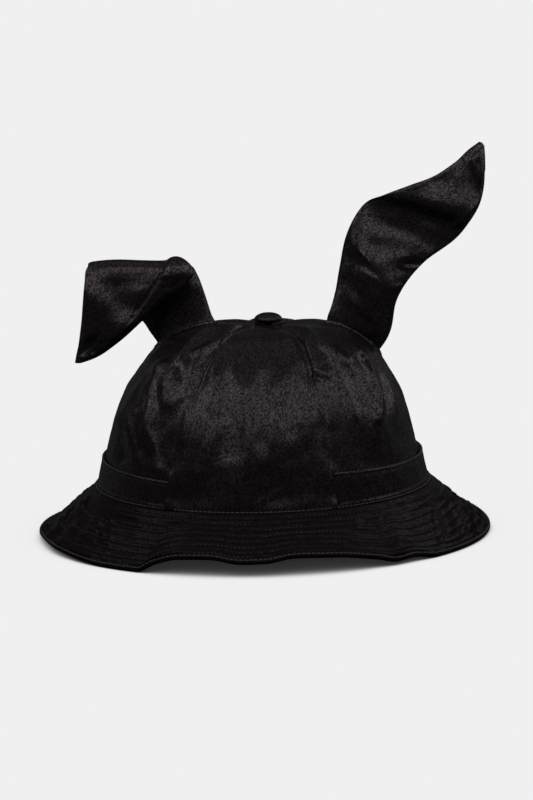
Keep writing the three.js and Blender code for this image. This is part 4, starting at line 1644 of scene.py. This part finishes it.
@dataclass
class Button:
    """The covered button: a dome with its cloth drawn in under the rim."""

    radius: float = 0.008
    height: float = 0.006
    shank_radius: float = 0.0025
    gather_rise: float = 0.00018
    gathers: int = 13

    def make(self, material: bpy.types.Material) -> bpy.types.Object:
        """Makes the button on its shank.

        Args:
            material: The finish.

        Returns:
            The finished piece.
        """
        low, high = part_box("button")
        middle = (low + high) / 2
        seat = high.z - self.height
        deselect_all()
        bpy.ops.mesh.primitive_uv_sphere_add(segments=96, ring_count=48, radius=1.0)
        piece = bpy.context.active_object
        piece.name = piece.data.name = "button_cloth"
        points = read_points(piece)
        level = points[:, 2]
        around = np.arctan2(points[:, 1], points[:, 0])
        reach = np.hypot(points[:, 0], points[:, 1]) ** 0.85
        folds = self.gather_rise / self.radius * np.cos(self.gathers * around) * bell((level + 0.35) / 0.35)
        reach = reach * (1 + folds)
        rise = np.where(level > 0, 0.62 * level**1.15, 0.38 * level)
        shaped = np.stack(
            [
                middle.x + self.radius * reach * np.cos(around),
                middle.y + self.radius * reach * np.sin(around),
                seat + self.height * (0.38 + rise),
            ],
            axis=1,
        )
        write_points(piece, shaped)
        bpy.ops.mesh.primitive_cylinder_add(
            vertices=32, radius=self.shank_radius, depth=seat - low.z + 0.001,
            location=(middle.x, middle.y, (seat + low.z) / 2),
        )
        shank = bpy.context.active_object
        pick(shank)
        bpy.ops.object.transform_apply(location=True, rotation=True, scale=True)
        piece.select_set(True)
        bpy.context.view_layer.objects.active = piece
        bpy.ops.object.join()
        return finish_piece(piece, material, "button")


class NodeGraph:
    """Adds and joins the nodes of a material, a node group or the world."""

    def __init__(self, tree: bpy.types.NodeTree) -> None:
        """Takes the tree and empties it."""
        self.tree = tree
        tree.nodes.clear()

    def add(self, kind: str, inputs: dict | None = None, **settings: object) -> bpy.types.Node:
        """Adds a node.

        Args:
            kind: The node's type, without its ShaderNode prefix.
            inputs: Values or sockets for its inputs, by name or number.
            settings: Values of the node's own properties.

        Returns:
            The node.
        """
        node = self.tree.nodes.new(kind if kind.startswith("NodeGroup") else f"ShaderNode{kind}")
        for name, value in settings.items():
            setattr(node, name, value)
        for key, value in (inputs or {}).items():
            if isinstance(value, bpy.types.NodeSocket):
                self.tree.links.new(value, node.inputs[key])
            else:
                node.inputs[key].default_value = value
        return node

    def math(
        self, operation: str, first: bpy.types.NodeSocket | float,
        second: bpy.types.NodeSocket | float = 0.0, third: float = 0.0,
    ) -> bpy.types.NodeSocket:
        """Adds a Math node and returns its result."""
        return self.add("Math", {0: first, 1: second, 2: third}, operation=operation).outputs[0]

    def spread(
        self, value: bpy.types.NodeSocket, low: float, high: float, to_low: float, to_high: float
    ) -> bpy.types.NodeSocket:
        """Maps a value smoothly from one range to another."""
        inputs = {"Value": value, "From Min": low, "From Max": high, "To Min": to_low, "To Max": to_high}
        return self.add("MapRange", inputs, interpolation_type="SMOOTHSTEP").outputs["Result"]


WEAVE_NOISES = ((1.0, 2.0, 0.65), (0.24, 3.0, 0.6), (2.6, 1.0, 0.5))
SPECKLE_SCALE = 1.8
SPECKLE_RANGE = (0.32, 0.72)


def satin_weave_group() -> bpy.types.NodeTree:
    """Builds the weave that all cloths share: long floats, a sandy grain and slubs.

    Returns:
        A node group that gives a height, a roughness offset, a colour mask and a mask of shiny floats.
    """
    tree = bpy.data.node_groups.new("satin weave", "ShaderNodeTree")
    face = tree.interface
    face.new_socket("Cloth", in_out="INPUT", socket_type="NodeSocketVector")
    face.new_socket("Grain Size", in_out="INPUT", socket_type="NodeSocketFloat")
    face.new_socket("Float Length", in_out="INPUT", socket_type="NodeSocketFloat")
    for name in ("Height", "Gloss", "Tone", "Shine"):
        face.new_socket(name, in_out="OUTPUT", socket_type="NodeSocketFloat")
    graph = NodeGraph(tree)
    given = graph.add("NodeGroupInput")
    size = graph.math("DIVIDE", 1.0, given.outputs["Grain Size"])
    stretch = graph.add("CombineXYZ", {"X": 1.0, "Y": given.outputs["Float Length"], "Z": 1.0})
    cloth = graph.add("VectorMath", {0: given.outputs["Cloth"], 1: stretch.outputs[0]}, operation="DIVIDE")
    noises = []
    for scale, detail, rough in WEAVE_NOISES:
        inputs = {
            "Vector": cloth.outputs[0], "Scale": graph.math("MULTIPLY", size, scale), "Detail": detail,
            "Roughness": rough,
        }
        noises.append(graph.add("TexNoise", inputs).outputs["Fac"])
    grain, slubs, floats = noises
    half_slubs = graph.math("MULTIPLY", slubs, 0.5)
    height = graph.math("ADD", graph.math("MULTIPLY", grain, 0.6), half_slubs)
    height = graph.math("ADD", height, graph.math("MULTIPLY", floats, 0.3))
    gloss = graph.math("SUBTRACT", grain, 0.5)
    tone = graph.math("ADD", graph.math("MULTIPLY", grain, 0.5), half_slubs)
    dense = graph.math("MULTIPLY", size, SPECKLE_SCALE)
    cells = graph.add("TexVoronoi", {"Vector": cloth.outputs[0], "Scale": dense})
    lit = graph.math("MULTIPLY", graph.add("SeparateXYZ", {0: cells.outputs["Color"]}).outputs["X"], 0.6)
    speckle = graph.math("ADD", lit, graph.math("MULTIPLY", grain, 0.4))
    shine = graph.spread(speckle, *SPECKLE_RANGE, 0.0, 1.0)
    graph.add("NodeGroupOutput", {"Height": height, "Gloss": gloss, "Tone": tone, "Shine": shine})
    return tree


@dataclass(frozen=True)
class SatinFinish:
    """A black satin: its colours, its sheen and the size of its grain."""

    name: str
    dark: tuple[float, float, float] = (0.0135, 0.0107, 0.0123)
    light: tuple[float, float, float] = (0.0195, 0.0156, 0.0178)
    gleam: tuple[float, float, float] = (1.0, 0.86, 0.91)
    roughness: float = 0.27
    gloss_spread: float = 0.3
    grain: float = 0.0009
    float_length: float = 1.5
    bump: float = 1.0
    relief: float = 0.00017
    anisotropy: float = 0.3
    body_level: float = 0.16
    float_level: float = 1.75
    float_roughness: float = 0.3

    def build(self, weave: bpy.types.NodeTree) -> bpy.types.Material:
        """Builds the material around the shared weave.

        Args:
            weave: The shared weave.

        Returns:
            The material.
        """
        material = bpy.data.materials.new(self.name)
        material.use_nodes = True
        graph = NodeGraph(material.node_tree)
        coordinates = graph.add("TexCoord")
        group = graph.add("Group", node_tree=weave)
        material.node_tree.links.new(coordinates.outputs["UV"], group.inputs["Cloth"])
        group.inputs["Grain Size"].default_value = self.grain
        group.inputs["Float Length"].default_value = self.float_length
        tones = {"Fac": group.outputs["Tone"], "Color1": (*self.dark, 1), "Color2": (*self.light, 1)}
        color = graph.add("MixRGB", tones)
        rough = graph.add("Math", {0: group.outputs["Gloss"], 1: -self.gloss_spread, 2: self.roughness},
                          operation="MULTIPLY_ADD", use_clamp=True)
        relief = {"Strength": self.bump, "Distance": self.relief, "Height": group.outputs["Height"]}
        bump = graph.add("Bump", relief)
        tangent = graph.add("Tangent", direction_type="UV_MAP", uv_map="UVMap")
        shader = graph.add("BsdfPrincipled", {
            "Base Color": color.outputs[0], "Roughness": rough.outputs[0], "Normal": bump.outputs["Normal"],
            "Tangent": tangent.outputs[0], "Anisotropic": self.anisotropy, "IOR": 1.5,
            "Specular Tint": (*self.gleam, 1), "Specular IOR Level": self.body_level,
            "Coat Weight": group.outputs["Shine"], "Coat IOR": self.float_level,
            "Coat Roughness": self.float_roughness,
        })
        graph.add("OutputMaterial", {"Surface": shader.outputs[0]})
        return material


@dataclass(frozen=True)
class Softbox:
    """A soft studio lamp that faces the hat."""

    name: str
    azimuth: float
    elevation: float
    distance: float
    width: float
    height: float
    radiance: float
    tint: tuple[float, float, float] = (1.0, 0.89, 0.93)

    def place(self, target: Vector) -> None:
        """Hangs the lamp at its direction from the hat.

        Args:
            target: The middle of the hat.
        """
        deselect_all()
        bpy.ops.object.light_add(type="AREA")
        lamp = bpy.context.active_object
        lamp.name = self.name
        lamp.data.shape = "RECTANGLE"
        lamp.data.size, lamp.data.size_y = self.width, self.height
        lamp.data.energy = self.radiance * math.pi * self.width * self.height
        lamp.data.color = self.tint
        back = direction(self.azimuth, self.elevation)
        turned = back.to_track_quat("Z", "Y").to_matrix().to_4x4()
        lamp.matrix_world = Matrix.Translation(target + back * self.distance) @ turned


def direction(azimuth: float, elevation: float) -> Vector:
    """Returns the way to a place seen at an azimuth and elevation, with azimuth 0 in front."""
    a, e = math.radians(azimuth), math.radians(elevation)
    return Vector((math.sin(a) * math.cos(e), -math.cos(a) * math.cos(e), math.sin(e)))


@dataclass(frozen=True)
class Studio:
    """The pale floor, the lamps and the camera."""

    target: Vector = Vector((0.003, 0.0, 0.0742))
    azimuth: float = 4.5
    elevation: float = 9.3
    roll: float = 1.3
    distance: float = 1.9
    lens: float = 150.0
    backdrop: float = 0.871
    floor_size: float = 30.0
    floor_glow: float = 0.03
    contact_reach: float = 0.16
    room_glow: float = 0.017
    room_behind: float = 0.03
    softboxes: tuple[Softbox, ...] = (
        Softbox("key_softbox", 15, 57, 1.4, 2.8, 1.23, 0.58),
        Softbox("right_softbox", 115, 31, 1.4, 1.2, 0.8, 0.5),
        Softbox("left_softbox", -87, 44, 1.4, 0.8, 0.8, 0.7),
        Softbox("top_softbox", 0, 112, 1.4, 2.0, 0.9, 0.1),
    )

    def place_camera(self) -> None:
        """Places the camera at the photograph's angle."""
        back = direction(self.azimuth, self.elevation)
        right = Vector((math.cos(math.radians(self.azimuth)), math.sin(math.radians(self.azimuth)), 0))
        up = back.cross(right)
        roll = math.radians(self.roll)
        rolled = right * math.cos(roll) - up * math.sin(roll)
        up = up * math.cos(roll) + right * math.sin(roll)
        data = bpy.data.cameras.new("camera")
        data.lens = self.lens
        camera = bpy.data.objects.new("camera", data)
        bpy.context.scene.collection.objects.link(camera)
        turned = Matrix((rolled, up, back)).transposed().to_4x4()
        camera.matrix_world = Matrix.Translation(self.target + back * self.distance) @ turned
        bpy.context.scene.camera = camera

    def lay_floor(self) -> None:
        """Lays the pale floor, which darkens softly where the hat shades it."""
        deselect_all()
        bpy.ops.mesh.primitive_plane_add(size=self.floor_size)
        floor = bpy.context.active_object
        floor.name = "floor"
        material = bpy.data.materials.new("pale floor")
        material.use_nodes = True
        graph = NodeGraph(material.node_tree)
        # The darkening near the hat is a painted contact shadow: ambient occlusion dims the floor's glow.
        shade = graph.add("AmbientOcclusion", {"Distance": self.contact_reach}, samples=24)
        depth = graph.spread(shade.outputs["AO"], 0.08, 0.9, 0.02, 1.0)
        path = graph.add("LightPath")
        seen = path.outputs["Is Camera Ray"]
        level = graph.math("MULTIPLY_ADD", seen, self.backdrop - self.floor_glow, self.floor_glow)
        strength = graph.math("MULTIPLY", level, depth)
        glow = graph.add("Emission", {"Color": (1, 1, 1, 1), "Strength": strength})
        clear = graph.add("BsdfTransparent")
        below = graph.add("NewGeometry")
        sides = {0: below.outputs["Backfacing"], 1: glow.outputs[0], 2: clear.outputs[0]}
        surface = graph.add("MixShader", sides)
        graph.add("OutputMaterial", {"Surface": surface.outputs[0]})
        floor.data.materials.append(material)

    def light_world(self) -> None:
        """Makes the room: pale to the camera, dim round the hat and brighter low behind it."""
        world = bpy.data.worlds.new("studio")
        bpy.context.scene.world = world
        world.use_nodes = True
        graph = NodeGraph(world.node_tree)
        way = graph.add("SeparateXYZ", {0: graph.add("TexCoord").outputs["Generated"]})
        behind = graph.spread(way.outputs["Y"], 0.1, 0.7, 0.0, 1.0)
        low = graph.spread(way.outputs["Z"], 0.15, 0.5, 1.0, 0.0)
        low_behind = graph.math("MULTIPLY", behind, low)
        dim = graph.math("MULTIPLY_ADD", low_behind, self.room_behind, self.room_glow)
        path = graph.add("LightPath")
        level = graph.add("Mix", {0: path.outputs["Is Camera Ray"], 2: dim, 3: self.backdrop})
        background = graph.add("Background", {"Color": (1, 1, 1, 1), "Strength": level.outputs[0]})
        graph.add("OutputWorld", {"Surface": background.outputs[0]})

    def build(self) -> None:
        """Builds the whole studio."""
        self.place_camera()
        self.lay_floor()
        self.light_world()
        for softbox in self.softboxes:
            softbox.place(self.target)
        bpy.context.scene.view_settings.view_transform = "Standard"
        LOG.info("studio: floor, room and %d softboxes", len(self.softboxes))


@dataclass
class RabbitHat:
    """The whole hat."""

    front_cells: tuple[int, int] = (128, 120)
    back_cells: tuple[int, int] = (84, 84)

    def crown(self, finish: bpy.types.Material, thread: bpy.types.Material) -> None:
        """Makes the six gores and the stitches along their seams.

        Args:
            finish: The gores' finish.
            thread: The stitches' finish, paler than the black thread is, a painted highlight.
        """
        stitches = Stitches("crown_stitches")
        names = ("back_left", "front_left", "front", "front_right", "back_right", "back")
        for i, name in enumerate(names):
            columns, rows = self.front_cells if name.startswith("front") else self.back_cells
            gore = Gore(name, SEAMS[i], SEAMS[(i + 1) % len(SEAMS)], 11 + i, columns, rows, name != "front")
            gore.make(finish)
            gore.sew(stitches)
        stitches.make(Slot.CROWN, thread)

    def build(self) -> None:
        """Builds every piece with its finish."""
        weave = satin_weave_group()
        crown = SatinFinish("crown satin").build(weave)
        band = SatinFinish("band satin", roughness=0.3).build(weave)
        # The brim's satin is a darker copy of the crown's black satin: its darker colour is painted shade.
        brim = SatinFinish(
            "brim satin", roughness=0.33, body_level=0.04, float_level=1.26, dark=(0.0095, 0.0075, 0.0086),
            light=(0.0148, 0.0118, 0.0134),
        ).build(weave)
        # The ears' satin is a lighter copy of the same black satin: its lighter colour is painted light on
        # their shaded parts.
        ears = SatinFinish(
            "ear satin", dark=(0.016, 0.0128, 0.0146), light=(0.023, 0.0184, 0.021), float_level=1.88
        ).build(weave)
        covered = SatinFinish("button satin").build(weave)
        # The thread is black; its lighter colour is a painted highlight standing in for the gleam of the
        # glossier thread.
        thread = SatinFinish(
            "sewing thread with painted highlight", dark=(0.034, 0.03, 0.032), light=(0.075, 0.068, 0.071), roughness=0.3,
            grain=0.00025, anisotropy=0.0,
        ).build(weave)
        # Pale thread for the rows along the folded edges: its light colour is a painted highlight, the
        # bright line that the rounded edges catch.
        edge_highlight_thread = SatinFinish(
            "edge thread with painted highlight", dark=(0.1, 0.092, 0.096), light=(0.17, 0.158, 0.163), roughness=0.35,
            grain=0.0003, anisotropy=0.0,
        ).build(weave)
        self.crown(crown, thread)
        strip, strip_stitches = Band(), Stitches("band_stitches")
        strip.make(band)
        strip.sew(strip_stitches)
        strip_stitches.make(Slot.BAND, thread)
        # A pale row, a painted highlight along the band's folded top edge.
        strip_edge = Stitches("band_edge_stitches", 0.0026, 0.0027, 0.00062)
        strip.sew_edge(strip_edge)
        strip_edge.make(Slot.BAND, edge_highlight_thread)
        rim, rim_stitches = Brim(), Stitches("brim_stitches", 0.0015, 0.0024, 0.0005)
        rim.make(brim)
        rim.sew(rim_stitches)
        rim_stitches.make(Slot.BRIM, thread)
        # Pale rows, a painted highlight along the crown seam and the brim's rounded edge.
        rim_edges = Stitches("brim_edge_stitches", 0.0026, 0.0026, 0.0007)
        rim.sew_edges(rim_edges)
        rim_edges.make(Slot.BRIM, edge_highlight_thread)
        Button().make(covered)
        Ear(
            "ear_left", -90.0, 0.029, FOLDED_EAR, -1, FOLDED_CREASES, FOLDED_ROLL, 101,
            corner_at=0.445, corner_trim=0.0026, bulk=0.005, creased_from=0.465,
        ).make(ears)
        Ear("ear_right", 90.0, 0.033, STANDING_EAR, 1, STANDING_CREASES, NO_ROLL, 113).make(ears)


def main() -> None:
    """Builds the hat and its studio, and reports each piece."""
    logging.basicConfig(level=logging.INFO, format="%(name)s: %(message)s")
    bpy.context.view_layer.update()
    RabbitHat().build()
    Studio().build()


if __name__ == "__main__":
    main()
